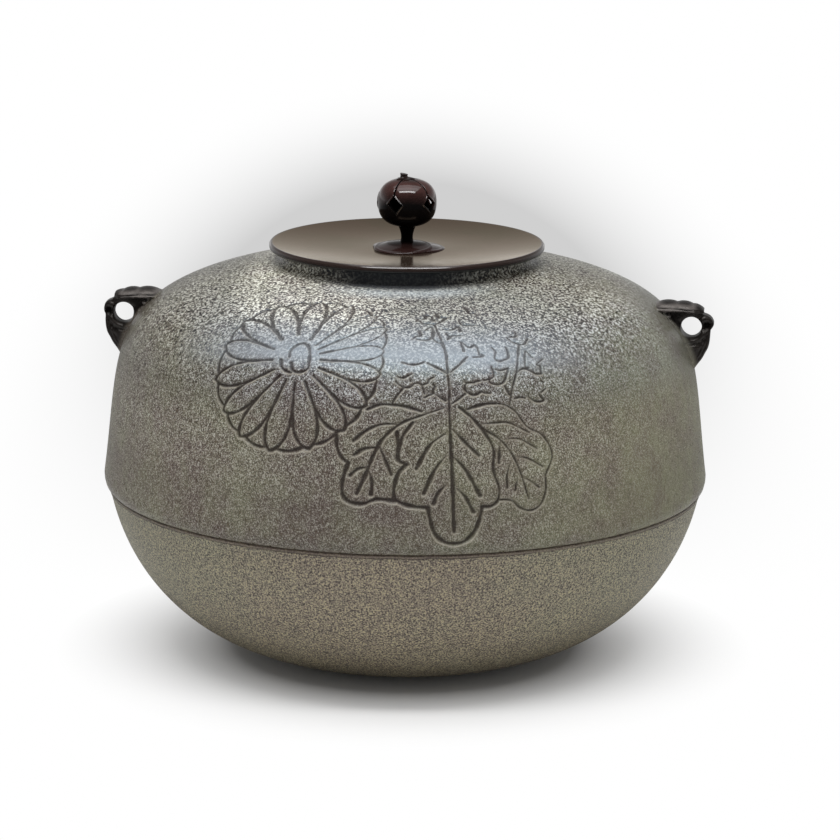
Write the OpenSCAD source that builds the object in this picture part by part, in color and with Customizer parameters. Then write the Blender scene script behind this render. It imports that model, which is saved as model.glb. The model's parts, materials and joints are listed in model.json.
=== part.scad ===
// Chagama: a cast-iron tea kettle with ring lugs and a scooped bronze lid.
// Millimetres, +Z up. The origin is the centre of the flat base, the lugs lie
// along X and the ornamented front faces -Y.

/* [Upper body] */
// Widest diameter, at the skirt of the upper body
belly_d = 267; // [250:1:290]
// Height of the widest line above the base
belly_z = 81; // [72:0.5:88]
// How far the skirt's lip turns in towards the seam
lip_depth = 1.8; // [1:0.1:2.6]
// Height of the lip's rounding, from the widest line down to the seam
lip_height = 5; // [4:0.5:8]
// Lean of the side at the widest line, in degrees
side_lean = 7.6; // [4:0.2:10]
// How far the side runs straight before the shoulder turns it
side_reach = 60.5; // [52:0.5:68]
// Slope of the shoulder at the neck, in degrees
shoulder_slope = 9.4; // [7:0.2:13]
// How far the shoulder runs straight before the side turns it
shoulder_reach = 78; // [70:1:86]
// Height at which the shoulder meets the neck
shoulder_z = 174.3; // [170:0.1:182]
// Thickness of the upper body's wall
upper_wall = 3.6; // [3:0.1:4.5]

/* [Mouth] */
// Inside diameter of the mouth
mouth_d = 101.6; // [96:0.2:106]
// Thickness of the neck's wall
neck_wall = 3.7; // [3:0.1:5]
// Height of the neck above the end of the shoulder
neck_height = 5.9; // [4.5:0.1:8]
// Radius of the hollow between the shoulder and the neck
neck_fillet = 3.5; // [2:0.1:4]
// Rounding of the mouth's edges
rim_round = 0.8; // [0.4:0.1:1.2]

/* [Bottom] */
// Diameter of the flat base
base_d = 71.5; // [60:0.5:84]
// Lean of the bowl at the seam, in degrees
bowl_lean = 10.2; // [8:0.2:15]
// How far the bowl runs straight below the seam
bowl_side_reach = 41; // [34:1:46]
// How far the bowl runs flat outside the base
bowl_base_reach = 57; // [46:1:62]
// Thickness of the bowl's wall
bowl_wall = 4; // [3.2:0.1:5]
// How far the bowl stands back under the skirt's lip
seam_inset = 0.4; // [0.2:0.1:1]

/* [Seam] */
// Height of the lap with which the bowl enters the upper body
lap_height = 8.5; // [6:0.5:11]
// Thickness of the bowl's lap
lap_wall = 3.4; // [2.6:0.1:4.2]
// Thickness of the lip at the seam
lip_wall = 3.4; // [2.6:0.1:4.2]
// Height of the lacquer bead that seals the lap
bead_height = 3; // [2:0.2:4]
// Gap left by the fit of one casting in another
joint_gap = 0.1; // [0.05:0.05:0.2]

/* [Lugs] */
// Diameter of the eye that takes a lifting ring
eye_d = 9; // [8:0.2:10]
// Height of the eye above the base
eye_z = 149; // [146:0.5:152]
// Distance of the eye's centre from the body's side at that height
eye_stand = 6.5; // [6:0.1:8]
// Thickness of the loop around the eye
loop_wall = 3.7; // [3:0.1:4.5]
// Width of the loop, which is the length of the eye
loop_width = 8.5; // [7:0.5:10]
// Depth of the jaw below the eye's centre
jaw_drop = 19.5; // [17:0.5:21]
// Width of the jaw's lower end
jaw_width = 5; // [4:0.5:7]
// Width of the brow over the loop
brow_width = 16; // [13:0.5:18]
// Height of the brow's crown above the eye's centre
brow_rise = 11.7; // [11:0.1:12.4]
// Fall of the brow's edge below its crown
brow_fall = 3.7; // [3:0.1:4.2]
// How far the nose stands out past the loop
nose_out = 1.2; // [0.6:0.1:2]
// Height of the nose above the eye's centre
nose_lift = 2; // [1.4:0.1:2.6]
// Diameter of the nose
nose_d = 8.4; // [7:0.2:9]
// Width of the nose
nose_width = 11; // [9.5:0.5:13]
// Diameter of the tenon that is cast into the wall
tenon_d = 7; // [5:0.5:8]
// How far the tenon stands out inside the wall
tenon_proud = 1; // [0.5:0.1:2]

/* [Lid] */
// Diameter of the lid
lid_d = 121; // [117:0.5:126]
// Height of the lid's top edge above the mouth
lid_rise = 3.2; // [2.9:0.1:4]
// Thickness of the lid's edge
edge_t = 2.2; // [1.6:0.1:2.6]
// Rounding of the lid's edge
edge_round = 0.5; // [0.3:0.1:0.7]
// Depth of the lid's scooped top
scoop = 2.9; // [2.2:0.1:3.4]
// Thickness of the lid's plate
lid_t = 2.6; // [2.2:0.1:3.2]
// Diameter of the flat at the lid's centre
flat_d = 36; // [34:1:42]
// How far the lid's collar drops into the mouth
collar_drop = 5; // [3.5:0.5:7]
// Thickness of the collar
collar_wall = 2.7; // [2:0.1:3.4]
// Gap between the collar and the mouth
collar_gap = 0.6; // [0.4:0.1:1]

/* [Knob] */
// Diameter over the petals of the seat
seat_d = 33; // [30:0.5:34]
// Number of the seat's petals
seat_petals = 3; // [3:1:6]
// Turn of the first petal from the front, in degrees
seat_turn = -20; // [-60:1:60]
// Thickness of the seat
seat_t = 1.2; // [0.8:0.1:1.8]
// Diameter of the stem's foot
foot_d = 8; // [7:0.5:12]
// Height of the stem from the seat to the ball
stem_height = 8.6; // [8:0.2:12]
// Diameter of the stem's waist
waist_d = 5.3; // [5:0.1:6]
// Diameter of the stem under the ball
stem_top_d = 7.6; // [7:0.1:8.6]
// Diameter of the tang that is riveted through the lid
tang_d = 4.4; // [3.6:0.1:5]
// Diameter of the ball
ball_d = 25.8; // [23:0.2:27]
// Height of the ball
ball_height = 21.2; // [19:0.2:24]
// Thickness of the ball's wall
ball_wall = 1.4; // [1:0.1:1.8]
// Width of the lozenge openings, corner to corner
opening_d = 6.6; // [5.6:0.1:7]
// Height of the openings' middles above the ball's middle
opening_lift = 0.7; // [0:0.1:1.5]
// Turn of the first opening from the front, in degrees
opening_turn = -18; // [-36:1:36]
// Diameter of the calyx on the ball
calyx_d = 7.6; // [6.4:0.1:9]
// Diameter of the stalk on the calyx
stalk_d = 3.2; // [2.6:0.1:3.6]
// Height of the stalk
stalk_height = 1.3; // [1:0.1:2.6]
// Diameter of the washer under the lid
washer_d = 13; // [11:0.5:16]
// Thickness of the washer
washer_t = 1; // [0.8:0.1:1.4]
// Diameter of the rivet's head under the washer
rivet_d = 7.2; // [6:0.2:8]
// Height of the rivet's head
rivet_height = 1.4; // [1:0.1:1.8]

/* [Singing irons] */
// Length of a singing iron
iron_length = 34; // [26:1:36]
// Width of a singing iron
iron_width = 10; // [8:0.5:12]
// Thickness of a singing iron
iron_t = 1.6; // [1.2:0.1:2.4]
// Distance of the irons' middles from the centre
iron_reach = 19; // [16:0.5:20]
// Diameter of the dab of lacquer that holds an iron
pad_d = 9; // [7:0.5:10]
// Thickness of the dab of lacquer
pad_t = 1.2; // [0.8:0.1:2]

/* [Hidden] */
$fn = 96;
side_steps = 44;
bowl_steps = 32;
round_steps = 8;
ball_parts = 5;
irons = 3;
past = 1;               // how far a cut runs past what it cuts

iron_brown = [0.40, 0.38, 0.34];
lug_brown = [0.22, 0.19, 0.18];
bronze_brown = [0.30, 0.23, 0.20];
knob_brown = [0.22, 0.09, 0.09];
lacquer_black = [0.12, 0.10, 0.09];

belly_r = belly_d / 2;
seam_r = belly_r - lip_depth;
seam_z = belly_z - lip_height;
mouth_r = mouth_d / 2;
neck_r = mouth_r + neck_wall;
rim_z = shoulder_z + neck_height;
base_r = base_d / 2;
lap_z = seam_z + lap_height;
socket_r = seam_r - lip_wall;
lap_r = socket_r - joint_gap;

lid_r = lid_d / 2;
lid_top_z = rim_z + lid_rise;
flat_r = flat_d / 2;
flat_z = lid_top_z - scoop;
scoop_run = lid_r - edge_round - flat_r;
scoop_r = (scoop_run * scoop_run + scoop * scoop) / (2 * scoop);
under_z = flat_z - lid_t;
collar_r = mouth_r - collar_gap;
hole_r = tang_d / 2 + joint_gap / 2;
seat_z = flat_z + seat_t;
ball_z = seat_z + stem_height;
ball_mid_z = ball_z + ball_height / 2;
floor_z = bowl_wall;

// A point on the cubic curve from a to d with handles b and c
function curve_at(a, b, c, d, t) =
    pow(1 - t, 3) * a + 3 * pow(1 - t, 2) * t * b + 3 * (1 - t) * t * t * c + pow(t, 3) * d;

// The direction of that curve
function curve_way(a, b, c, d, t) =
    pow(1 - t, 2) * (b - a) + 2 * (1 - t) * t * (c - b) + t * t * (d - c);

// The curve moved sideways, to the left of its direction where gap is positive
function curve(p, steps, gap = 0) = [
    for (i = [0:steps])
        let (t = i / steps,
             at = curve_at(p[0], p[1], p[2], p[3], t),
             way = curve_way(p[0], p[1], p[2], p[3], t))
        at + gap * [-way[1], way[0]] / norm(way)
];

// Part of an ellipse about a centre
function ellipse(mid, rx, rz, from, to, steps = round_steps) = [
    for (i = [0:steps])
        let (a = from + (to - from) * i / steps)
        mid + [rx * cos(a), rz * sin(a)]
];

function reversed(list) = [for (i = [len(list) - 1:-1:0]) list[i]];

// Side of the upper body, from its widest line up to the neck
side_curve = [
    [belly_r, belly_z],
    [belly_r - side_reach * sin(side_lean), belly_z + side_reach * cos(side_lean)],
    [neck_r + neck_fillet + shoulder_reach * cos(shoulder_slope),
     shoulder_z - shoulder_reach * sin(shoulder_slope)],
    [neck_r + neck_fillet, shoulder_z]
];

// Side of the bowl, from the seam down to the flat base
bowl_top_r = seam_r - seam_inset;
bowl_curve = [
    [bowl_top_r, seam_z],
    [bowl_top_r - bowl_side_reach * sin(bowl_lean), seam_z - bowl_side_reach * cos(bowl_lean)],
    [base_r + bowl_base_reach, 0],
    [base_r, 0]
];

lip_points = ellipse([seam_r, belly_z], lip_depth, lip_height, -90, 0);
neck_points = concat(
    ellipse([neck_r + neck_fillet, shoulder_z + neck_fillet], neck_fillet, neck_fillet, -90, -180),
    ellipse([neck_r - rim_round, rim_z - rim_round], rim_round, rim_round, 0, 90));
outer_points = concat(lip_points, curve(side_curve, side_steps), neck_points);

// Radius of the body's side at a height
side_table = [for (p = curve(side_curve, side_steps)) [p[1], p[0]]];
inner_table = [for (p = curve(side_curve, side_steps, upper_wall)) [p[1], p[0]]];
function side_at(z) = lookup(z, side_table);
function inner_at(z) = lookup(z, inner_table);

// The solid inside the body's outer face, grown by a gap
module body_form(gap) {
    rotate_extrude()
        polygon(concat([[0, seam_z]], [for (p = outer_points) p + [gap, 0]], [[0, rim_z]]));
}

// Sockets in the wall for the lugs' tenons
tenon_z = eye_z - eye_d / 2 - loop_wall / 2 - tenon_d / 2;
module tenon(length, r) {
    translate([inner_at(tenon_z) - tenon_proud, 0, tenon_z])
        rotate([0, 90, 0])
            cylinder(h = length, r = r);
}
tenon_length = side_at(tenon_z) - inner_at(tenon_z) + tenon_proud + loop_wall / 2;

module upper_body() {
    inner = [for (p = curve(side_curve, side_steps, upper_wall)) if (p[1] > lap_z) p];
    section = concat(
        outer_points,
        ellipse([mouth_r + rim_round, rim_z - rim_round], rim_round, rim_round, 90, 180),
        [[mouth_r, shoulder_z - upper_wall]],
        reversed(inner),
        [[inner_at(lap_z), lap_z], [socket_r, lap_z], [socket_r, seam_z]]);
    color(iron_brown)
        difference() {
            rotate_extrude() polygon(section);
            for (side = [0, 1])
                mirror([side, 0, 0])
                    tenon(tenon_length + past, tenon_d / 2 + joint_gap / 2);
        }
}

module bottom_bowl() {
    outside = curve(bowl_curve, bowl_steps);
    inside = [for (p = curve(bowl_curve, bowl_steps, -bowl_wall)) if (p[1] < seam_z - lap_wall) p];
    section = concat(
        outside,
        [[0, 0], [0, floor_z]],
        reversed(inside),
        [[lap_r - lap_wall, seam_z], [lap_r - lap_wall, lap_z], [lap_r, lap_z], [lap_r, seam_z]]);
    color(iron_brown)
        rotate_extrude() polygon(section);
}

// Bead of iron-filled lacquer along the inside of the lap
module seam_lacquer() {
    wall_r = min(inner_at(lap_z), inner_at(lap_z + bead_height)) - joint_gap;
    bead_in_r = lap_r - lap_wall + joint_gap;
    hollow = ellipse([bead_in_r, lap_z + bead_height], wall_r - bead_in_r, bead_height, 0, -90);
    color(lacquer_black)
        rotate_extrude()
            polygon(concat([[wall_r, lap_z]], hollow));
}

// Right-hand lug in the XZ plane, measured from the centre of its eye
eye_r = eye_d / 2;
eye_x = side_at(eye_z) + eye_stand;
loop_r = eye_r + loop_wall;
jaw_x = side_at(eye_z - jaw_drop) - eye_x;
root_x = side_at(eye_z + loop_r) - eye_x - loop_wall;
lobe_x = -eye_stand - loop_wall;

module loop_outline() {
    jaw = curve([[loop_r, 0], [loop_r, -0.45 * jaw_drop],
                 [jaw_x + 0.22 * jaw_drop, -0.7 * jaw_drop], [jaw_x, -jaw_drop]], 2 * round_steps);
    circle(r = loop_r);
    polygon(concat([[0, 0]], jaw, [[root_x, -jaw_drop], [root_x, 0]]));
    translate([root_x, 0]) square([-root_x, loop_r]);
}

// Front of the loop, which narrows down the jaw
module loop_front() {
    half = loop_width / 2;
    tip = jaw_width / 2;
    polygon([[-half, loop_r], [half, loop_r], [half, -loop_r],
             [tip, -jaw_drop], [-tip, -jaw_drop], [-half, -loop_r]]);
}

module loop() {
    intersection() {
        rotate([90, 0, 0])
            linear_extrude(loop_width, center = true) loop_outline();
        rotate([90, 0, 90])
            linear_extrude(2 * jaw_drop, center = true) loop_front();
    }
}

// Lobes along the brow: each one's place from the eye, its drop and its radius
brow_lobes = [[lobe_x, 0, 7.5], [-3.8, 0.6, 6.5], [1.3, 1.5, 4.4]];
brow_tip_drop = 0.8;
module brow_outline() {
    back_x = lobe_x - brow_lobes[0][2];
    tip_x = brow_lobes[2][0] + brow_lobes[2][2];
    edge = brow_rise - brow_fall;
    intersection() {
        union()
            for (lobe = brow_lobes)
                translate([lobe[0], brow_rise - lobe[1] - lobe[2]])
                    circle(r = lobe[2]);
        polygon([[back_x, edge], [tip_x, edge - brow_tip_drop], [tip_x, brow_rise], [back_x, brow_rise]]);
    }
}

// The brow is vaulted across its width
module brow() {
    half = brow_width / 2;
    vault_r = (half * half + brow_fall * brow_fall) / (2 * brow_fall);
    intersection() {
        rotate([90, 0, 0])
            linear_extrude(brow_width, center = true) brow_outline();
        translate([0, 0, brow_rise - vault_r])
            rotate([0, 90, 0])
                cylinder(h = 4 * brow_width, r = vault_r, center = true);
    }
}

module nose() {
    r = nose_d / 2;
    round_r = r / 2;
    half = nose_width / 2;
    translate([loop_r - r + nose_out, 0, nose_lift])
        rotate([90, 0, 0])
            rotate_extrude()
                polygon(concat([[0, -half]],
                    ellipse([r - round_r, -half + round_r], round_r, round_r, -90, 0),
                    ellipse([r - round_r, half - round_r], round_r, round_r, 0, 90),
                    [[0, half]]));
}

// Curl where the brow's edge turns down against the body
module brow_curl() {
    curl_r = brow_fall / 2;
    translate([lobe_x, 0, brow_rise - brow_fall - curl_r / 2])
        rotate([90, 0, 0])
            cylinder(h = brow_width - 2 * brow_fall, r = curl_r, center = true);
}

// Bore of the eye, with a wider way to it past the nose on either side
module eye_cut() {
    way_r = eye_r + loop_wall / 4;
    rotate([90, 0, 0]) {
        cylinder(h = 2 * brow_width, r = eye_r, center = true);
        for (side = [0, 1])
            mirror([0, 0, side])
                translate([0, 0, loop_width / 2])
                    cylinder(h = brow_width, r = way_r);
    }
}

module right_lug() {
    color(lug_brown) {
        difference() {
            translate([eye_x, 0, eye_z])
                difference() {
                    union() {
                        loop();
                        brow();
                        nose();
                        brow_curl();
                    }
                    eye_cut();
                }
            body_form(joint_gap / 2);
        }
        tenon(tenon_length, tenon_d / 2);
    }
}

module left_lug() {
    mirror([1, 0, 0]) right_lug();
}

module place_iron(k) {
    rotate([0, 0, 360 / irons * k])
        translate([0, iron_reach, 0])
            children();
}

// Strip with round ends that hums as the water boils
module singing_iron(k) {
    end_x = (iron_length - iron_width) / 2;
    color(lug_brown)
        place_iron(k)
            translate([0, 0, floor_z + pad_t])
                linear_extrude(iron_t)
                    union() {
                        square([2 * end_x, iron_width], center = true);
                        for (side = [-1, 1])
                            translate([side * end_x, 0])
                                circle(d = iron_width);
                    }
}

module lacquer_pad(k) {
    color(lacquer_black)
        place_iron(k)
            translate([0, 0, floor_z])
                cylinder(h = pad_t, d = pad_d);
}

function scoop_at(r) = flat_z + scoop_r - sqrt(scoop_r * scoop_r - pow(r - flat_r, 2));

module lid_plate() {
    rim_in_r = lid_r - edge_round;
    collar_in_r = collar_r - collar_wall;
    collar_z = rim_z - collar_drop;
    top = [for (i = [0:2 * round_steps])
        let (r = flat_r + (rim_in_r - flat_r) * i / (2 * round_steps)) [r, scoop_at(r)]];
    under = [for (i = [0:2 * round_steps])
        let (r = collar_in_r + (flat_r - collar_in_r) * i / (2 * round_steps)) [r, scoop_at(r) - lid_t]];
    section = concat(
        [[hole_r, flat_z]],
        top,
        ellipse([rim_in_r, lid_top_z - edge_round], edge_round, edge_round, 90, 0),
        ellipse([rim_in_r, lid_top_z - edge_t + edge_round], edge_round, edge_round, 0, -90),
        [[neck_r + edge_t, rim_z], [collar_r, rim_z], [collar_r, collar_z], [collar_in_r, collar_z]],
        under,
        [[hole_r, under_z]]);
    color(bronze_brown)
        rotate_extrude() polygon(section);
}

// Flower washer with a broad petal towards the front
module knob_seat() {
    petal_r = 0.385 * seat_d;
    color(knob_brown)
        translate([0, 0, flat_z])
            linear_extrude(seat_t)
                difference() {
                    union() {
                        circle(r = seat_d / 2 - petal_r);
                        for (k = [0:seat_petals - 1])
                            rotate(360 / seat_petals * k + seat_turn - 90)
                                translate([seat_d / 2 - petal_r, 0])
                                    circle(r = petal_r);
                    }
                    circle(r = hole_r);
                }
}

tenon_top_z = ball_z + 2 * ball_wall;
module knob_stem() {
    foot_r = foot_d / 2;
    waist_r = waist_d / 2;
    waist_z = seat_z + 0.4 * stem_height;
    top_r = stem_top_d / 2;
    tang_r = tang_d / 2;
    rivet_z = under_z - washer_t;
    foot = curve([[foot_r, seat_z + 0.5], [(foot_r + waist_r) / 2, seat_z + 0.6],
                  [waist_r, seat_z + 0.15 * stem_height], [waist_r, waist_z]], 2 * round_steps);
    neck = curve([[waist_r, waist_z], [waist_r, waist_z + 0.2 * stem_height],
                  [top_r - 0.4, ball_z - 0.8], [top_r, ball_z]], round_steps);
    head = ellipse([tang_r, rivet_z], rivet_d / 2 - tang_r, rivet_height, -90, 0);
    color(knob_brown)
        rotate_extrude()
            polygon(concat([[0, rivet_z - rivet_height]], head,
                [[tang_r, rivet_z], [tang_r, seat_z], [foot_r, seat_z]],
                foot, neck,
                [[tang_r, ball_z], [tang_r, tenon_top_z], [0, tenon_top_z]]));
}

module rivet_washer() {
    color(bronze_brown)
        translate([0, 0, under_z - washer_t])
            difference() {
                cylinder(h = washer_t, d = washer_d);
                translate([0, 0, -past]) cylinder(h = washer_t + 2 * past, r = hole_r);
            }
}

// Half section of the ball, square-shouldered like a bud, reduced by a wall
squareness = 0.69;
function ball_points(wall, low_r, high_r) =
    let (r = ball_d / 2 - wall, h = ball_height / 2 - wall,
         low = curve([[0, -h], [squareness * r, -h], [r, -squareness * h], [r, 0]], 2 * round_steps),
         high = curve([[r, 0], [r, squareness * h], [squareness * r, h], [0, h]], 2 * round_steps))
    concat([[low_r, -h]], [for (p = low) if (p[0] > low_r) p],
           [for (p = high) if (p[0] > high_r && p[1] > 0) p], [[high_r, h]]);

stalk_hole_r = stalk_d / 4;
module knob_ball() {
    low_r = hole_r;
    high_r = stalk_hole_r + joint_gap / 2;
    section = concat(ball_points(0, low_r, high_r), reversed(ball_points(ball_wall, low_r, high_r)));
    color(knob_brown)
        translate([0, 0, ball_mid_z])
            difference() {
                rotate_extrude() polygon(section);
                for (k = [0:ball_parts - 1])
                    rotate([0, 0, 360 / ball_parts * k + opening_turn - 90])
                        translate([0, 0, opening_lift])
                            rotate([0, 90, 0])
                                cylinder(h = ball_d, d = opening_d, $fn = 4);
            }
}

// Small leaves and a cut stalk on top of the ball
module knob_calyx() {
    calyx_z = ball_z + ball_height;
    leaf_t = 0.8;
    leaf_r = calyx_d / 6;
    color(knob_brown) {
        translate([0, 0, calyx_z])
            linear_extrude(leaf_t)
                union() {
                    circle(r = calyx_d / 2 - leaf_r);
                    for (k = [0:ball_parts - 1])
                        rotate(360 / ball_parts * (k + 0.5) + opening_turn - 90)
                            translate([calyx_d / 2 - leaf_r, 0])
                                circle(r = leaf_r);
                }
        translate([0, 0, calyx_z - ball_wall])
            cylinder(h = ball_wall + leaf_t, r = stalk_hole_r);
        translate([0, 0, calyx_z])
            cylinder(h = leaf_t + stalk_height, d = stalk_d);
    }
}

upper_body();
bottom_bowl();
seam_lacquer();
left_lug();
right_lug();
singing_iron(1);  // singing_iron_1
singing_iron(2);  // singing_iron_2
singing_iron(3);  // singing_iron_3
lacquer_pad(1);  // lacquer_pad_1
lacquer_pad(2);  // lacquer_pad_2
lacquer_pad(3);  // lacquer_pad_3
lid_plate();
rivet_washer();
knob_seat();
knob_stem();
knob_ball();
knob_calyx();
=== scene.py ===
import json
from functools import reduce

import bpy
import numpy as np
from mathutils import Matrix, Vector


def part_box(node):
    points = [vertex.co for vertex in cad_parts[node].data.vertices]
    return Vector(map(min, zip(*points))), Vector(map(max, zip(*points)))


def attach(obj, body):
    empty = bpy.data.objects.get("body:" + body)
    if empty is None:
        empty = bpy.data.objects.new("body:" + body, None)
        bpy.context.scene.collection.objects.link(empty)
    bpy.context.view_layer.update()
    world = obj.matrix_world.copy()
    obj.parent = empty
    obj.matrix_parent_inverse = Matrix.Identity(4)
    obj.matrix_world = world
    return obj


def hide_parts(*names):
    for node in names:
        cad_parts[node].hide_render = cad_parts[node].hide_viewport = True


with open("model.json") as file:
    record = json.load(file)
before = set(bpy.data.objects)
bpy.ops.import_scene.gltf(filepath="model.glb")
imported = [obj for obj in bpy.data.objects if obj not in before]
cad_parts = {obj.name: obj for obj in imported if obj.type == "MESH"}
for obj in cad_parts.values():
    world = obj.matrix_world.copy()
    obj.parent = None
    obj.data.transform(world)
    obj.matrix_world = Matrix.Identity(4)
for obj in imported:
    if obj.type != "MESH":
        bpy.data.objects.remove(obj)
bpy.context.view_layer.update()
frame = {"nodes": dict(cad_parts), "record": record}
mm = 0.001      # shapes are worked out in millimetres and put into the meshes in metres
print("frame:", len(frame["nodes"]), "nodes")


def nodeBox(node):
    low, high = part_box(node)
    return np.array(low) / mm, np.array(high) / mm


# Camera at the photograph's viewing angle
shot = {
    "swing": 5.2,           # degrees round the kettle
    "pitch": 13.016,        # degrees downwards
    "roll": 0.48,           # degrees
    "place": (6.4, -1700.0, 495.9),    # before the swing
    "lens": 168.37,
    "sensor": 36.0,
    "pixels": 840,
}


def spin(axis, degrees):
    return np.array(Matrix.Rotation(np.radians(degrees), 3, axis))


eyeTurn = spin("Z", shot["swing"]) @ spin("X", 90 - shot["pitch"]) @ spin("Z", shot["roll"])
eyePlace = spin("Z", shot["swing"]) @ np.array(shot["place"])

lens = bpy.data.cameras.new("camera")
lens.lens, lens.sensor_width = shot["lens"], shot["sensor"]
camera = bpy.data.objects.new("camera", lens)
camera.matrix_world = Matrix(eyeTurn.tolist()).to_4x4()
camera.location = eyePlace * mm
bpy.context.scene.collection.objects.link(camera)
bpy.context.scene.camera = camera


# Curves
def bezier(a, b, c, d, count):
    # Cubic from a to d with handles b and c
    t = np.linspace(0, 1, count)[:, None]
    a, b, c, d = (np.array(p, float) for p in (a, b, c, d))
    return (1 - t) ** 3 * a + 3 * (1 - t) ** 2 * t * b + 3 * (1 - t) * t ** 2 * c + t ** 3 * d


def oval(mid, rx, rz, start, end, count=24):
    # Part of an ellipse about mid, by angles in degrees
    a = np.radians(np.linspace(start, end, count))
    return np.stack([mid[0] + rx * np.cos(a), mid[1] + rz * np.sin(a)], 1)


def evenly(points, count, last=False):
    # The same line as count points at even steps of its length
    points = np.array(points, float)
    run = np.r_[0, np.cumsum(np.linalg.norm(np.diff(points, axis=0), axis=1))]
    at = np.linspace(0, run[-1], count + (0 if last else 1))
    at = at if last else at[:-1]
    return np.stack([np.interp(at, run, points[:, k]) for k in range(points.shape[1])], 1)


def flowing(points, perSpan=8):
    # Smooth line through all points: each span is a cubic whose ends lean along the neighbouring points
    p = np.array(points, float)
    p = np.vstack([2 * p[0] - p[1], p, 2 * p[-1] - p[-2]])
    t = np.linspace(0, 1, perSpan, endpoint=False)[:, None, None]
    a, b, c, d = p[None, :-3], p[None, 1:-2], p[None, 2:-1], p[None, 3:]
    lean, bend, twist = c - a, 2 * a - 5 * b + 4 * c - d, 3 * b - 3 * c + d - a
    spans = 0.5 * (2 * b + lean * t + bend * t ** 2 + twist * t ** 3)
    return np.vstack([spans.transpose(1, 0, 2).reshape(-1, p.shape[1]), p[-2]])


def sidestep(points, gap):
    # The line moved to the left of its direction
    way = np.gradient(points, axis=0)
    way /= np.linalg.norm(way, axis=1)[:, None]
    return points + gap * np.stack([-way[:, 1], way[:, 0]], 1)


def bell(x, width):
    return np.exp(-(x / width) ** 2)


def ramp(x, low, high):
    t = np.clip((x - low) / (high - low), 0, 1)
    return t * t * (3 - 2 * t)


# Meshes
def addMark(mesh, name, values):
    mesh.attributes.new(name, "FLOAT", "POINT").data.foreach_set("value", values.astype(np.float32))


def putObject(name, mesh, sharp=65):
    mesh.polygons.foreach_set("use_smooth", np.ones(len(mesh.polygons), bool))
    mesh.set_sharp_from_angle(angle=np.radians(sharp))
    piece = bpy.data.objects.new(name, mesh)
    bpy.context.scene.collection.objects.link(piece)
    return piece


def putMesh(name, points, faceSets, sharp=65, marks=None):
    # Points in millimetres and arrays of faces with equal corner counts become one object at the origin
    mesh = bpy.data.meshes.new(name)
    faceSets = [np.asarray(f) for f in faceSets if len(f)]
    corners = np.concatenate([f.ravel() for f in faceSets])
    counts = np.concatenate([np.full(len(f), f.shape[1]) for f in faceSets])
    mesh.vertices.add(len(points))
    mesh.vertices.foreach_set("co", (np.asarray(points) * mm).astype(np.float32).ravel())
    mesh.loops.add(len(corners))
    mesh.loops.foreach_set("vertex_index", corners.astype(np.int32))
    mesh.polygons.add(len(counts))
    mesh.polygons.foreach_set("loop_start", (np.cumsum(counts) - counts).astype(np.int32))
    mesh.update(calc_edges=True)
    mesh.validate()
    for mark, values in (marks or {}).items():
        addMark(mesh, mark, values)
    return putObject(name, mesh, sharp)


def places(piece):
    at = np.empty(3 * len(piece.data.vertices), np.float32)
    piece.data.vertices.foreach_get("co", at)
    return at.reshape(-1, 3) / mm


def around(count):
    # Angles of a full turn in even steps
    return np.linspace(0, 2 * np.pi, count, endpoint=False)


def wrapFaces(rows, columns, rowsMeet=True):
    # Four-cornered faces of a grid whose columns meet round the back, and whose rows may
    i, j = np.meshgrid(np.arange(rows - (not rowsMeet)), np.arange(columns), indexing="ij")
    i, j = i.ravel(), j.ravel()
    down, over = (i + 1) % rows, (j + 1) % columns
    return np.stack([i * columns + j, i * columns + over, down * columns + over, down * columns + j], 1)


def capped(rings, low, high):
    # A grid of rings, with a fan of triangles from the point low to the first ring and from high to the last
    rows, columns = rings.shape[:2]
    points = rings.reshape(-1, 3)
    j = np.arange(columns)
    following, end = (j + 1) % columns, (rows - 1) * columns
    lowFan = np.stack([np.full(columns, len(points)), following, j], 1)
    highFan = np.stack([np.full(columns, len(points) + 1), end + j, end + following], 1)
    return np.vstack([points, low, high]), [wrapFaces(rows, columns, rowsMeet=False), lowFan, highFan]


def carried(profile, columns):
    # A section (radius, height) carried round the axis, a ring for each of its points
    a = around(columns)
    r, z = profile[:, :1], profile[:, 1:]
    return np.stack([r * np.cos(a), r * np.sin(a), z + 0 * a], 2)


def turned(profile, columns):
    # A closed section carried round the axis, outside faces outwards
    r, z = profile.T
    if np.sum(r * np.roll(z, -1) - np.roll(r, -1) * z) < 0:
        profile = profile[::-1]
    return carried(profile, columns), wrapFaces(len(profile), columns)


def poled(profile, columns):
    # An open section that starts and ends on the axis, closed there by fans
    return capped(carried(profile[1:-1], columns), (0, 0, profile[0, 1]), (0, 0, profile[-1, 1]))


def lofted(rings):
    # Rings of points along a path, each end closed by a fan to its middle
    return capped(rings, rings[0].mean(0), rings[-1].mean(0))


def joined(forms):
    # Several forms as one set of points and faces
    starts = np.cumsum([0] + [len(points) for points, faceSets in forms])
    faces = [f + start for (points, faceSets), start in zip(forms, starts) for f in faceSets]
    return np.vstack([points for points, faceSets in forms]), faces


def baked(piece, sharp=65):
    # The piece with its modifiers worked into its mesh
    done = piece.evaluated_get(bpy.context.evaluated_depsgraph_get())
    mesh = bpy.data.meshes.new_from_object(done)
    name = piece.name
    bpy.data.objects.remove(piece)
    mesh.name = name
    return putObject(name, mesh, sharp)


def fused(piece, voxel, rounds):
    # Overlapping forms become one skin, softened as a casting is
    melt = piece.modifiers.new("melt", "REMESH")
    melt.mode, melt.voxel_size = "VOXEL", voxel * mm
    soften = piece.modifiers.new("soften", "SMOOTH")
    soften.factor, soften.iterations = 0.5, rounds
    return baked(piece)


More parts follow.
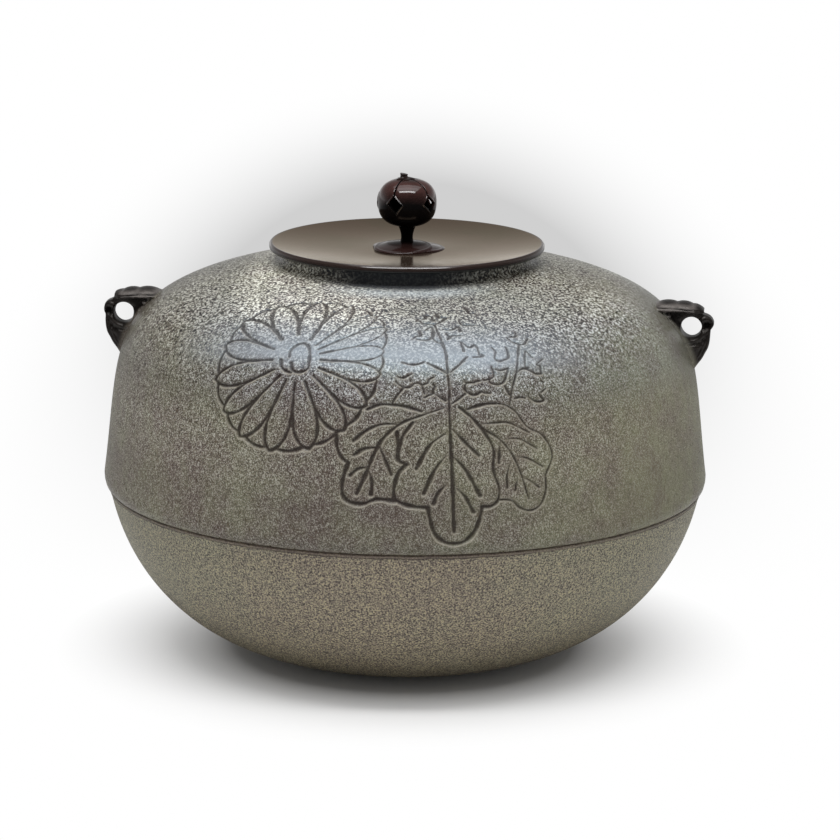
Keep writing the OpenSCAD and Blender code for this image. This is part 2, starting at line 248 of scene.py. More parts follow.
def cutBy(piece, cutter, sharp):
    # The piece less the cutter's space
    cut = piece.modifiers.new("cut", "BOOLEAN")
    cut.operation, cut.solver, cut.object = "DIFFERENCE", "EXACT", cutter
    opened = baked(piece, sharp)
    bpy.data.objects.remove(cutter)
    return opened


def dress(piece, finish, body, slot, *nodes):
    piece.data.materials.clear()
    piece.data.materials.append(finish)
    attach(piece, body)
    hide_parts(*nodes)
    print("piece:", piece.name, len(piece.data.polygons), "faces")


# Materials: a node or a shader takes sockets to link or values to set
def feed(tree, holder, inputs):
    for key, value in inputs.items():
        if isinstance(value, bpy.types.NodeSocket):
            tree.links.new(value, holder.inputs[key])
        else:
            holder.inputs[key].default_value = value


def node(tree, kind, inputs=None, **settings):
    made = tree.nodes.new("ShaderNode" + kind)
    for key, value in settings.items():
        setattr(made, key, value)
    feed(tree, made, inputs or {})
    return made


def newFinish(name):
    finish = bpy.data.materials.new(name)
    finish.use_nodes = True
    tree = finish.node_tree
    return finish, tree, tree.nodes["Principled BSDF"]


def sums(tree, operation, *parts):
    return node(tree, "Math", dict(enumerate(parts)), operation=operation).outputs[0]


def plus(tree, *parts):
    return reduce(lambda a, b: sums(tree, "ADD", a, b), parts)


def times(tree, *parts):
    return reduce(lambda a, b: sums(tree, "MULTIPLY", a, b), parts)


def apart(tree, value, centre):
    # How far the value lies from the centre, on either side
    return sums(tree, "ABSOLUTE", sums(tree, "SUBTRACT", value, centre))


def spread(tree, value, low, high, outLow=0.0, outHigh=1.0):
    # The value's range from low to high, laid over outLow to outHigh
    return node(tree, "MapRange", {0: value, 1: low, 2: high, 3: outLow, 4: outHigh}).outputs[0]


def blendColour(tree, share, a, b, way="MIX"):
    made = node(tree, "Mix", {0: share, 6: a, 7: b}, data_type="RGBA", blend_type=way)
    return made.outputs[2]


def noise(tree, where, scale, detail=2.0, rough=0.5):
    inputs = {"Vector": where, "Scale": scale, "Detail": detail, "Roughness": rough}
    return node(tree, "TexNoise", inputs).outputs[0]


def bumped(tree, height, distance, strength=1.0):
    return node(tree, "Bump", {"Height": height, "Distance": distance, "Strength": strength}).outputs[0]


def markOf(tree, name):
    return node(tree, "Attribute", attribute_name=name).outputs["Fac"]


def length(tree, x, y):
    flat = node(tree, "CombineXYZ", {0: x, 1: y}).outputs[0]
    return node(tree, "VectorMath", {0: flat}, operation="LENGTH").outputs["Value"]


def objectPlace(tree):
    # Object coordinates, whole and as x, y and z
    place = node(tree, "TexCoord").outputs["Object"]
    return (place, *node(tree, "SeparateXYZ", {0: place}).outputs)


def tone(red, green, blue):
    # A colour as the eye reads it, 0 to 255, in the shader's own light
    c = np.array([red, green, blue]) / 255
    light = np.where(c <= 0.04045, c / 12.92, ((c + 0.055) / 1.055) ** 2.4)
    return (*light.tolist(), 1.0)


# Cast iron of the upper body. A zone runs from its first number to its second, over which a share goes from
# its third to its fourth, or from 0 to 1. Places are metres, noise runs from 0 to 1.
ironLook = {
    "deep": tone(38, 33, 32),           # pits between the grains
    "skin": tone(99, 93, 83), "skinShare": 0.4,
    "pale": tone(192, 192, 182),        # tops of the grains
    "worn": tone(92, 76, 70),           # purple-brown bloom on the front
    "olive": tone(120, 120, 93),        # towards the sides
    "line": tone(40, 34, 32),
    "burrHighlight": tone(166, 160, 146), "burrShare": 0.62,     # raised burr along the lines' lower edges, its pale colour a painted highlight
    "neck": tone(10, 8, 8),             # painted shade and contact shadow under the lid's overhang
    "rubbedSheen": tone(198, 208, 212),      # painted sheen: pale cool band just before the lid
    "smoothShaded": tone(74, 68, 62), "smoothShare": 0.5,     # round the lugs: smooth patina, darker partly as painted shade
    "polishedSheen": tone(140, 146, 154),      # painted sheen on the polished front
    "shine": (0.68, 0.88, 1.0, 1.0),    # cool satin of the polished skin
    "cool": (1.0, 1.04, 1.17, 1.0),     # painted cool reflection where the shoulder turns over
    "grain": 1950.0, "broader": 1.9, "coarser": 3.2,    # fineness, and how much larger two more noises are
    "patches": 22.0, "blooms": 95.0,
    "drawn": 0.85,                      # grain drawn out down the wall
    "coarseShare": 0.25, "coarseRelief": 0.8,
    "rough": (0.3, 0.7, 0.26, 0.37),    # zone on the coarse noise
    "gloss": (0.1, 0.7), "dullGloss": 0.05,     # of the plain and the polished skin, and of lines and the shade under the lid
    "pitDepth": 0.0002, "polishedPits": 0.3,
}
grainZones = {
    "broad": (0.14, 0.16),              # heights over which the grain grows broad
    "speck": (0.35, 0.65), "pits": (0.0, 0.5, 0.95, 0.0), "tops": (0.5, 1.0, 0.0, 0.85),
    "up": (0.136, 0.167, 0.76, 2.3),
    "aboveLip": (0.095, 0.12, 0.68, 1.0), "belowNeck": (0.165, 0.172, 1.0, 0.7),
    "right": (0.06, 0.11, 1.0, 0.5),
    "smoothed": (0.0, 1.0, 1.0, 0.25), "calm": (0.0, 1.0, 1.0, 0.4),
}
patinaZones = {
    "olivePatch": (0.35, 0.65, 0.0, 0.5), "oliveBloom": (0.35, 0.65, -0.25, 0.25),
    "oliveSides": 3.4, "oliveRight": 1.4,       # growth for each metre aside, and to the right
    "lowSides": (0.03, 0.09, 1.0, 1.16), "aboveLip": (0.094, 0.108, 0.92, 1.05),
    "left": (-0.085, -0.05, 0.86, 0.96), "right": (0.095, 0.112, 0.0, 0.12),
    "back": (-0.025, 0.01, 1.0, 0.75),
    "crownLeft": (-0.074, -0.06), "crownRight": (-0.016, 0.012, 1.0, 0.0), "crownUp": (0.159, 0.166),
    "crown": (0.0, 1.0, 1.0, 1.72),
    "flankAside": (0.075, 0.09), "flankUp": (0.156, 0.163), "flank": (0.0, 1.0, 1.0, 1.25),
    "turn": (0.121, 0.138),             # heights over which the wall turns into the shoulder
    "coolUp": (0.128, 0.142), "coolOut": (0.16, 0.168, 1.0, 0.0), "coolLeft": (-0.09, -0.06),
}
wearZones = {
    "lugHalf": (0.028, 0.019), "lugDrop": 0.003, "lug": (0.75, 1.6, 1.0, 0.0),    # smooth, darker oval below each lug: patina and painted shade
    # Painted shade under the lid's overhang, weaker at the sides where light reaches in
    "neckArch": 1.1, "neck": (0.0592, 0.0632, 0.95, 0.0), "neckSides": (0.016, 0.042, 1.0, 0.2),
    # Painted sheen band just outside the lid, on the front only
    "bandRadius": 0.065, "sheenBand": (0.0005, 0.008, 0.62, 0.0), "bandGrain": (0.7, 1.1, 0.45, 1.0),
    "bandMiddle": 0.006, "bandSides": (0.014, 0.04, 1.0, 0.0), "bandFront": (-0.04, -0.02, 1.0, 0.0),
    # Painted sheen over the polished front, as a pale cool colour
    "polishSides": (0.048, 0.094, 1.0, 0.0), "polishFront": (-0.06, -0.03, 1.0, 0.0),
    "polishUp": (0.145, 0.156, 0.15, 1.0),
    "sheenArch": 0.9, "sheenUp": (0.15, 0.156), "sheenOut": (0.157, 0.168, 0.7, 0.15), "sheenMost": 0.7,
    "sheenLine": (0.0, 0.5, 1.0, 0.4),
}


def grainedSkin(tree, spot, smoothed=0.0, calm=0.0):
    # Colour of the patina, the height of its grain and its coarse noise. Smoothed takes away the grain and
    # darkens, partly as painted shade; calm only softens the grain.
    look, zone = ironLook, patinaZones
    place, x, y, z = spot
    where = node(tree, "VectorMath", {0: place, 1: (1, 1, look["drawn"])}, operation="MULTIPLY").outputs[0]
    fine = noise(tree, where, look["grain"], rough=0.6)
    broad = noise(tree, where, look["grain"] / look["broader"], rough=0.6)
    coarse = noise(tree, where, look["grain"] / look["coarser"])
    grain = spread(tree, z, *grainZones["broad"], fine, broad)
    patch = noise(tree, place, look["patches"], 3.0, 0.55)
    bloom = noise(tree, place, look["blooms"])
    # Olive towards the sides, most on the right
    wide = sums(tree, "ABSOLUTE", x)
    olive = plus(tree, times(tree, wide, zone["oliveSides"]), times(tree, x, zone["oliveRight"]),
                 spread(tree, patch, *zone["olivePatch"]), spread(tree, bloom, *zone["oliveBloom"]))
    base = blendColour(tree, spread(tree, olive, 0.0, 1.0), look["worn"], look["olive"])
    base = blendColour(tree, look["skinShare"], base, look["skin"])
    base = blendColour(tree, times(tree, smoothed, look["smoothShare"]), base, look["smoothShaded"])
    # Coarse, sharp grain on the shoulder, finer and flatter down the wall; the shoulder's stronger contrast
    # is partly painted light and shade of the overhead lamp on the bumps
    mottle = plus(tree, grain, times(tree, sums(tree, "SUBTRACT", coarse, 0.5), look["coarseShare"]))
    speck = spread(tree, mottle, *grainZones["speck"])
    strong = times(tree, *(spread(tree, value, *grainZones[name]) for name, value in (
        ("up", z), ("smoothed", smoothed), ("calm", calm), ("right", x), ("aboveLip", z), ("belowNeck", z))))
    dark = times(tree, spread(tree, speck, *grainZones["pits"]), strong)
    light = times(tree, spread(tree, speck, *grainZones["tops"]), strong)
    colour = blendColour(tree, dark, base, look["deep"])
    colour = blendColour(tree, light, colour, look["pale"])
    # Darker on the left of the shoulder, at its back and towards the lip, lighter low at the sides
    low = times(tree, spread(tree, wide, *zone["lowSides"]), spread(tree, z, *zone["aboveLip"]))
    high = plus(tree, spread(tree, x, *zone["left"]), spread(tree, x, *zone["right"]))
    # Palest at the top of the flower, pale on the right flank
    crown = times(tree, spread(tree, x, *zone["crownLeft"]), spread(tree, x, *zone["crownRight"]),
                  spread(tree, z, *zone["crownUp"]))
    flank = times(tree, spread(tree, x, *zone["flankAside"]), spread(tree, z, *zone["flankUp"]))
    high = times(tree, high, spread(tree, y, *zone["back"]), spread(tree, crown, *zone["crown"]),
                 spread(tree, flank, *zone["flank"]))
    colour = blendColour(tree, 1.0, colour, spread(tree, z, *zone["turn"], low, high), "MULTIPLY")
    # Painted cool reflection: cooler where the shoulder turns over
    cool = times(tree, spread(tree, z, *zone["coolUp"]), spread(tree, z, *zone["coolOut"]),
                 spread(tree, x, *zone["coolLeft"]))
    colour = blendColour(tree, cool, colour, look["cool"], "MULTIPLY")
    height = plus(tree, grain, times(tree, coarse, look["coarseRelief"]))
    return colour, height, coarse


def ironSkin():
    look, zone = ironLook, wearZones
    finish, tree, shader = newFinish("castIronSkin")
    spot = objectPlace(tree)
    place, x, y, z = spot
    # Smooth round the lugs' roots, and darker there: patina and painted shade
    halfAcross, halfUp = zone["lugHalf"]
    up = sums(tree, "DIVIDE", sums(tree, "SUBTRACT", z, eyeZ * mm - zone["lugDrop"]), halfUp)
    smoothed = spread(tree, length(tree, sums(tree, "DIVIDE", y, halfAcross), up), *zone["lug"])
    colour, height, coarse = grainedSkin(tree, spot, smoothed, markOf(tree, "close"))
    line = markOf(tree, "line")
    colour = blendColour(tree, times(tree, markOf(tree, "burrHighlight"), look["burrShare"]), colour, look["burrHighlight"])
    colour = blendColour(tree, line, colour, look["line"])
    # Painted shade under the lid, dull there, and a painted sheen band just before it
    wide, squared = sums(tree, "ABSOLUTE", x), times(tree, x, x)
    radius = length(tree, x, y)
    # Painted shade under the lid: dark and dull, a contact shadow round the neck
    outward = plus(tree, radius, times(tree, squared, zone["neckArch"]))
    neck = times(tree, spread(tree, outward, *zone["neck"]), spread(tree, wide, *zone["neckSides"]))
    # Painted sheen: a pale band just outside the lid's edge
    sheenBand = times(tree, spread(tree, apart(tree, radius, zone["bandRadius"]), *zone["sheenBand"]),
                 spread(tree, height, *zone["bandGrain"]),
                 spread(tree, apart(tree, x, zone["bandMiddle"]), *zone["bandSides"]),
                 spread(tree, y, *zone["bandFront"]))
    colour = blendColour(tree, sheenBand, colour, look["rubbedSheen"])
    colour = blendColour(tree, neck, colour, look["neck"])
    # Polished by hand on the front: glossier there, with a painted sheen in its colour; dull at the sides, in
    # the lines and under the lid
    polishedSheen = times(tree, spread(tree, wide, *zone["polishSides"]), spread(tree, y, *zone["polishFront"]))
    arched = plus(tree, z, times(tree, squared, zone["sheenArch"]))
    # Painted sheen: pale cool colour where the lamp's reflection lies
    sheen = times(tree, spread(tree, arched, *zone["sheenUp"]),
                  spread(tree, arched, *zone["sheenOut"]), polishedSheen,
                  spread(tree, line, *zone["sheenLine"]))
    colour = blendColour(tree, sheen, colour, look["polishedSheen"])
    deep = look["pitDepth"]
    relief = spread(tree, sheen, 0.0, zone["sheenMost"], deep, look["polishedPits"] * deep)
    rubbedSheen = times(tree, polishedSheen, spread(tree, arched, *zone["polishUp"]))
    gloss = spread(tree, rubbedSheen, 0.0, 1.0, *look["gloss"])
    dull = sums(tree, "MAXIMUM", line, neck)
    feed(tree, shader, {
        "Base Color": colour,
        "Normal": bumped(tree, height, relief),
        "Roughness": spread(tree, coarse, *look["rough"]),
        "Specular IOR Level": spread(tree, dull, 0.0, 1.0, gloss, look["dullGloss"]),
        "Specular Tint": look["shine"],
    })
    return finish


bowlLook = {
    "deep": tone(58, 50, 44),
    "skin": tone(124, 114, 102),
    "olive": tone(126, 124, 107),       # towards the sides
    "pale": tone(176, 166, 132),
    "baseDark": tone(64, 51, 42),         # red-brown and darker towards the base
    "joint": tone(106, 92, 84),
    "gap": tone(34, 28, 26),
    "grain": 1400.0, "patches": 30.0, "ragged": 160.0,
    "metal": 0.2, "rough": 0.52, "pitDepth": 0.0003,
    # Zones, as on the upper body
    "speck": (0.37, 0.63), "pits": (0.0, 0.5, 0.85, 0.0), "tops": (0.55, 1.0, 0.0, 0.7),
    "grainUp": (0.01, 0.055, 1.9, 1.15),
    "oliveRagged": (0.3, 0.7, -0.03, 0.03), "oliveSides": (0.02, 0.1),
    "baseDarkRagged": (0.3, 0.7, -0.006, 0.006), "baseDarkSides": (0.05, 0.095, 0.0, -0.013),
    "baseDarkUp": (0.004, 0.026, 0.95, 0.0),
    "jointRagged": (0.3, 0.7, -0.0003, 0.0003), "jointDown": (0.0019, 0.0022, 0.6, 0.0),
    "upperGap": 0.0003, "upperShare": 0.5, "lowerGap": 0.0018, "lowerShare": (0.4, 0.6, 0.6, 0.15),
    "gapWidth": (0.0002, 0.0005, 1.0, 0.0),
}


def ironBottom():
    look = bowlLook
    finish, tree, shader = newFinish("castIronBottom")
    place, x, y, z = objectPlace(tree)
    grain = noise(tree, place, look["grain"], rough=0.6)
    patch = noise(tree, place, look["patches"], 3.0, 0.55)
    speck = spread(tree, grain, *look["speck"])
    wide = sums(tree, "ABSOLUTE", x)
    # Smooth below the joint, coarser towards the base
    strong = spread(tree, z, *look["grainUp"])
    aside = plus(tree, wide, spread(tree, patch, *look["oliveRagged"]))
    skin = blendColour(tree, spread(tree, aside, *look["oliveSides"]), look["skin"], look["olive"])
    low = plus(tree, z, spread(tree, patch, *look["baseDarkRagged"]), spread(tree, wide, *look["baseDarkSides"]))
    colour = blendColour(tree, spread(tree, low, *look["baseDarkUp"]), skin, look["baseDark"])
    colour = blendColour(tree, times(tree, spread(tree, speck, *look["pits"]), strong), colour, look["deep"])
    colour = blendColour(tree, times(tree, spread(tree, speck, *look["tops"]), strong), colour, look["pale"])
    # Below the lip a bead of red-brown joint between two dark gaps, which come and go
    ragged = noise(tree, place, look["ragged"])
    below = plus(tree, sums(tree, "SUBTRACT", seamZ * mm, z), spread(tree, ragged, *look["jointRagged"]))
    colour = blendColour(tree, spread(tree, below, *look["jointDown"]), colour, look["joint"])
    lowerShare = spread(tree, patch, *look["lowerShare"])
    for depth, share in ((look["upperGap"], look["upperShare"]), (look["lowerGap"], lowerShare)):
        gap = spread(tree, apart(tree, below, depth), *look["gapWidth"])
        colour = blendColour(tree, times(tree, gap, share), colour, look["gap"])
    feed(tree, shader, {
        "Base Color": colour,
        "Normal": bumped(tree, grain, look["pitDepth"]),
        "Roughness": look["rough"],
        "Metallic": look["metal"],
    })
    return finish


def smoothMetal(name, dark, light, rough, metal, blotch=300.0, pit=0.00012):
    # Plain metal or lacquer: blotches of two browns, fine pits
    finish, tree, shader = newFinish(name)
    place = objectPlace(tree)[0]
    spots = noise(tree, place, blotch, 4.0, 0.6)
    pits = noise(tree, place, 1800.0)
    feed(tree, shader, {
        "Base Color": blendColour(tree, spread(tree, spots, 0.35, 0.7), dark, light),
        "Normal": bumped(tree, pits, pit, 0.8),
        "Roughness": spread(tree, spots, 0.3, 0.7, rough - 0.07, rough + 0.07),
        "Metallic": metal,
    })
    return finish


lidLook = {
    "brown": tone(120, 101, 90), "green": tone(112, 99, 84),
    "edge": tone(46, 36, 33),
    "edgeShade": tone(3, 2, 2), "edgeShadeUp": (-2.1, -1.7),        # painted shade and dark reflection on the edge's lower part; millimetres from the top
    "rings": 1400.0, "clouds": 40.0, "ringDepth": 0.00001,
    "cloudTurn": (0.35, 0.65), "topEdge": (0.0588, 0.0596, 1.0, 0.0),
    "rough": (0.3, 0.7, 0.12, 0.18), "metal": 0.85, "shine": (0.92, 0.86, 0.74, 1.0),
}


def lidBronze():
    # Bronze under brown lacquer, turned on a lathe: a clouded patina, and rings too fine to count on its top
    look = lidLook
    finish, tree, shader = newFinish("patinatedBronze")
    place, x, y, z = objectPlace(tree)
    radius = length(tree, x, y)
    rings = noise(tree, node(tree, "CombineXYZ", {0: radius}).outputs[0], look["rings"])
    cloud = noise(tree, place, look["clouds"], 4.0, 0.6)
    colour = blendColour(tree, spread(tree, cloud, *look["cloudTurn"]), look["brown"], look["green"])
    top = spread(tree, radius, *look["topEdge"])
    # Painted shade: the edge turns black towards its underside
    shadeFrom, shadeTo = ((lidTopZ + height) * mm for height in look["edgeShadeUp"])
    edge = blendColour(tree, spread(tree, z, shadeFrom, shadeTo), look["edgeShade"], look["edge"])
    feed(tree, shader, {
        "Base Color": blendColour(tree, top, edge, colour),
        "Normal": bumped(tree, rings, times(tree, top, look["ringDepth"]), 0.5),
        "Roughness": spread(tree, cloud, *look["rough"]),
        "Metallic": times(tree, top, look["metal"]),
        "Specular Tint": blendColour(tree, top, (1, 1, 1, 1), look["shine"]),
    })
    return finish


# Heights of the knob's zones are millimetres from the bud's middle or the seat
knobLook = {
    "red": tone(54, 33, 30), "brown": tone(70, 46, 43), "lowerShade": tone(9, 7, 7),
    "stalk": tone(24, 21, 18), "seam": tone(6, 5, 5),
    "clouds": 160.0, "pits": 700.0, "pitDepth": 0.000003, "rough": 0.12,
    "cloudTurn": (0.35, 0.7), "seamEdge": (0.0, 0.7),
    "lowerShadeBud": (-4, 4, 1.0, 0.0), "lowerShadeLean": 0.4, "lowerShadeSeat": (0.6, 2.0, 0.55, 1.0),
    "stalkBud": (9.6, 10.6, 0.0, 0.8),
    "glossRim": (0.0085, 0.0125, 0.01, 0.5), "glossSeat": (2.5, 4, 0.5, 0.01),
    "glossBud": (-6, 1.5, 0.02, 0.5),
    "seamFrom": (0.0, 0.6), "seamGloss": 0.03,
}


def knobLacquer():
    # Deep red-brown lacquer over bronze, black in the seams between the bud's leaves; painted shade inside
    # the bud
    look = knobLook
    finish, tree, shader = newFinish("redBrownLacquer")
    place, x, y, z = objectPlace(tree)

    def upFrom(middle, value, zone):
        low, high, *shares = look[zone]
        return spread(tree, value, (middle + low) * mm, (middle + high) * mm, *shares)

    cloud = noise(tree, place, look["clouds"], 3.0, 0.6)
    pits = noise(tree, place, look["pits"])
    seam = markOf(tree, "seam")
    colour = blendColour(tree, spread(tree, cloud, *look["cloudTurn"]), look["red"], look["brown"])
    # Painted shade and dark reflection below the bud's shoulder, deeper at the front, brown again on the seat
    tilted = plus(tree, z, times(tree, y, look["lowerShadeLean"]))
    lowerShade = times(tree, upFrom(budMidZ, tilted, "lowerShadeBud"), upFrom(seatZ, z, "lowerShadeSeat"))
    colour = blendColour(tree, lowerShade, colour, look["lowerShade"])
    colour = blendColour(tree, upFrom(budMidZ, z, "stalkBud"), colour, look["stalk"])
    colour = blendColour(tree, spread(tree, seam, *look["seamEdge"]), colour, look["seam"])
    # Glossy round the seat and on the bud's shoulder, dull between
    radius = length(tree, x, y)
    rim = sums(tree, "MINIMUM", spread(tree, radius, *look["glossRim"]), upFrom(seatZ, z, "glossSeat"))
    gloss = sums(tree, "MAXIMUM", rim, upFrom(budMidZ, z, "glossBud"))
    feed(tree, shader, {
        "Base Color": colour,
        "Normal": bumped(tree, pits, look["pitDepth"], 0.5),
        "Roughness": look["rough"],
        "Specular IOR Level": spread(tree, seam, *look["seamFrom"], gloss, look["seamGloss"]),
    })
    return finish


# Upper body
body = {
    "bellyHeight": 81.0,
    "lipDepth": 1.8,
    "sideLean": 7.6,            # degrees inwards at the belly
    "sideReach": 60.5,
    "shoulderSlope": 9.4,       # degrees downwards at the neck
    "shoulderReach": 78.0,
    "shoulderHeight": 174.3,
    "mouthRadius": 50.8,
    "neckFillet": 3.5,
    "neckWall": 3.7,
    "rimRound": 0.8,
    "wall": 3.6,
    "lapHeight": 8.5,
    "lipWall": 3.4,
    "columns": 216,
    "lipRows": 3,
    "sideRows": 45,
    "split": 8,                 # faces across a cell under the ornament
}
upperLow, upperHigh = nodeBox("upper_body")
lidLow, lidHigh = nodeBox("lid_plate")
bellyR, seamZ, rimZ = upperHigh[0], upperLow[2], upperHigh[2]
seamR = bellyR - body["lipDepth"]
lapZ = seamZ + body["lapHeight"]
mouthR = body["mouthRadius"]
neckR = mouthR + body["neckWall"]


def leaning(reach, degrees):
    return reach * np.array([np.cos(np.radians(degrees)), np.sin(np.radians(degrees))])


def sideCurve():
    low = np.array([bellyR, body["bellyHeight"]])
    high = np.array([neckR + body["neckFillet"], body["shoulderHeight"]])
    lowHandle = low + leaning(body["sideReach"], 90 + body["sideLean"])
    highHandle = high + leaning(body["shoulderReach"], -body["shoulderSlope"])
    return bezier(low, lowHandle, highHandle, high, 2000)


side = sideCurve()


def sideRadius(z):
    return np.interp(z, side[:, 1], side[:, 0])


def upperSection(split):
    # The closed section as pieces, each with its number of grid rows
    rim, fillet = body["rimRound"], body["neckFillet"]
    lip, bellyZ = body["lipDepth"], body["bellyHeight"]
    socketR = seamR - body["lipWall"]
    neckTop = body["shoulderHeight"] + fillet
    inner = sidestep(side, body["wall"])[::-1]
    inner = inner[inner[:, 1] > lapZ]
    pieces = [
        (oval((seamR, bellyZ), lip, bellyZ - seamZ, -90, 0), body["lipRows"]),
        (side, body["sideRows"]),
        (oval((neckR + fillet, neckTop), fillet, fillet, -90, -180), 3),
        ([(neckR, neckTop), (neckR, rimZ - rim)], 1),
        (oval((neckR - rim, rimZ - rim), rim, rim, 0, 90), 2),
        ([(neckR - rim, rimZ), (mouthR + rim, rimZ)], 1),
        (oval((mouthR + rim, rimZ - rim), rim, rim, 90, 180), 2),
        ([(mouthR, rimZ - rim), (mouthR, inner[0, 1])], 2),
        ([(mouthR, inner[0, 1]), inner[0]], 1),
        (inner, 16),
        ([inner[-1], (socketR, lapZ)], 1),
        ([(socketR, lapZ), (socketR, seamZ)], 2),
        ([(socketR, seamZ), (seamR, seamZ)], 1),
    ]
    return np.vstack([evenly(points, rows * split) for points, rows in pieces])


def castOnSide(pixels):
    # A ray from the camera through each pixel, halved again and again between the camera and the axis
    half = shot["pixels"] / 2
    focal = shot["lens"] / shot["sensor"] * shot["pixels"]
    across, down = np.array(pixels, float).T
    ray = np.stack([(across - half) / focal, (half - down) / focal, -np.ones(len(pixels))], 1) @ eyeTurn.T
    far = -(ray[:, :2] @ eyePlace[:2]) / np.sum(ray[:, :2] ** 2, 1)
    near = far - 1.5 * bellyR
    for _ in range(40):
        middle = (near + far) / 2
        point = eyePlace + ray * middle[:, None]
        inside = np.hypot(point[:, 0], point[:, 1]) < sideRadius(point[:, 2])
        near, far = np.where(inside, near, middle), np.where(inside, middle, far)
    return eyePlace + ray * far[:, None]


# Ornament: lines read on enlargements of the photograph. A pixel is the corner plus the point over the
# enlargement.
chrysanthemum = {
    "corner": (200, 280), "enlarged": 7.84,
    "heart": (755, 615),
    "tips": [(630, 200), (950, 175), (1190, 205), (1385, 280), (1465, 380), (1440, 560), (1410, 745),
             (1300, 985),
             (1125, 1180), (850, 1325), (545, 1340), (310, 1225), (185, 1030), (120, 780), (200, 510),
             (345, 320)],
    "baseRadius": 190.0,        # where the petals' sides begin
    "parting": 0.48,            # share of the length at which neighbours part
    "behind": (0.13, 0.87), "behindReach": (0.955, 0.06),   # petals behind: span, place and vault
    "scales": [[(700, 600), (705, 555), (750, 515), (810, 495), (850, 520), (858, 580), (850, 650)],
               [(632, 625), (635, 680), (670, 712), (712, 725)],
               [(712, 650), (715, 690), (745, 720), (800, 718), (845, 690), (850, 650)]],
    "width": 1.15, "depth": 0.62,
    "thin": (850, 1250, 900),       # across which the lines grow thin, above the last
}
paulownia = {
    "corner": (330, 300), "enlarged": 6.03,
    "outlines": [
        [(500, 740), (440, 820), (415, 900), (410, 965), (460, 995)],
        [(460, 995), (410, 1050), (387, 1130), (388, 1195), (430, 1228), (510, 1248), (590, 1255)],
        [(590, 1255), (605, 1330), (635, 1415), (690, 1460), (750, 1472), (815, 1455), (870, 1400),
         (903, 1320), (918, 1250)],
        [(918, 1250), (975, 1243), (1015, 1205), (1020, 1130), (995, 1060), (985, 1000), (990, 920),
         (965, 850), (900, 760),
         (845, 700), (780, 650)],
        [(550, 672), (460, 645), (380, 633), (300, 632), (225, 660)],
        [(38, 815), (42, 890), (68, 950), (108, 985)],
        [(108, 985), (82, 1060), (70, 1130), (82, 1190), (125, 1222), (200, 1230), (280, 1203), (388, 1214)],
        [(830, 660), (895, 638), (970, 625), (1050, 632), (1120, 675), (1190, 765), (1275, 810),
         (1325, 880), (1340, 950),
         (1300, 1060)],
        [(1300, 1060), (1302, 1150), (1270, 1235), (1210, 1270), (1145, 1252), (1095, 1210), (1020, 1205)],
        [(405, 800), (410, 880), (410, 960)],
    ],
    "veins": [
        [(720, 470), (718, 560), (722, 680), (728, 850), (735, 1000), (742, 1150), (745, 1300), (750, 1400)],
        [(690, 650), (560, 695), (450, 735), (380, 780), (310, 850), (260, 940), (215, 1050), (160, 1170)],
        [(780, 650), (850, 710), (930, 780), (1010, 830), (1070, 890), (1120, 970), (1160, 1070),
         (1200, 1200)],
        [(690, 810), (600, 880), (520, 1020)],
        [(700, 940), (630, 1030), (565, 1170)],
        [(700, 1115), (650, 1170), (625, 1230)],
        [(740, 780), (815, 860), (900, 940)],
        [(740, 940), (820, 1030), (905, 1180)],
        [(770, 1140), (820, 1195), (865, 1280)],
        [(400, 748), (310, 752), (225, 785), (140, 850)],
        [(275, 890), (205, 900), (145, 935)],
        [(225, 1008), (165, 1022), (120, 1060)],
        [(300, 890), (330, 960), (370, 1055)],
        [(235, 1030), (252, 1100), (245, 1175)],
        [(920, 748), (1000, 742), (1080, 742), (1200, 798)],
        [(1050, 842), (1140, 838), (1250, 895)],
        [(1110, 945), (1190, 955), (1285, 1005)],
        [(1165, 1068), (1210, 1092), (1262, 1130)],
        [(1090, 975), (1070, 1050), (1070, 1135)],
        [(1130, 1080), (1118, 1150)],
        [(1025, 855), (1020, 985)],
    ],
    "width": 1.15, "depth": 0.66,
    "thin": (880, 1100, 2000),
}
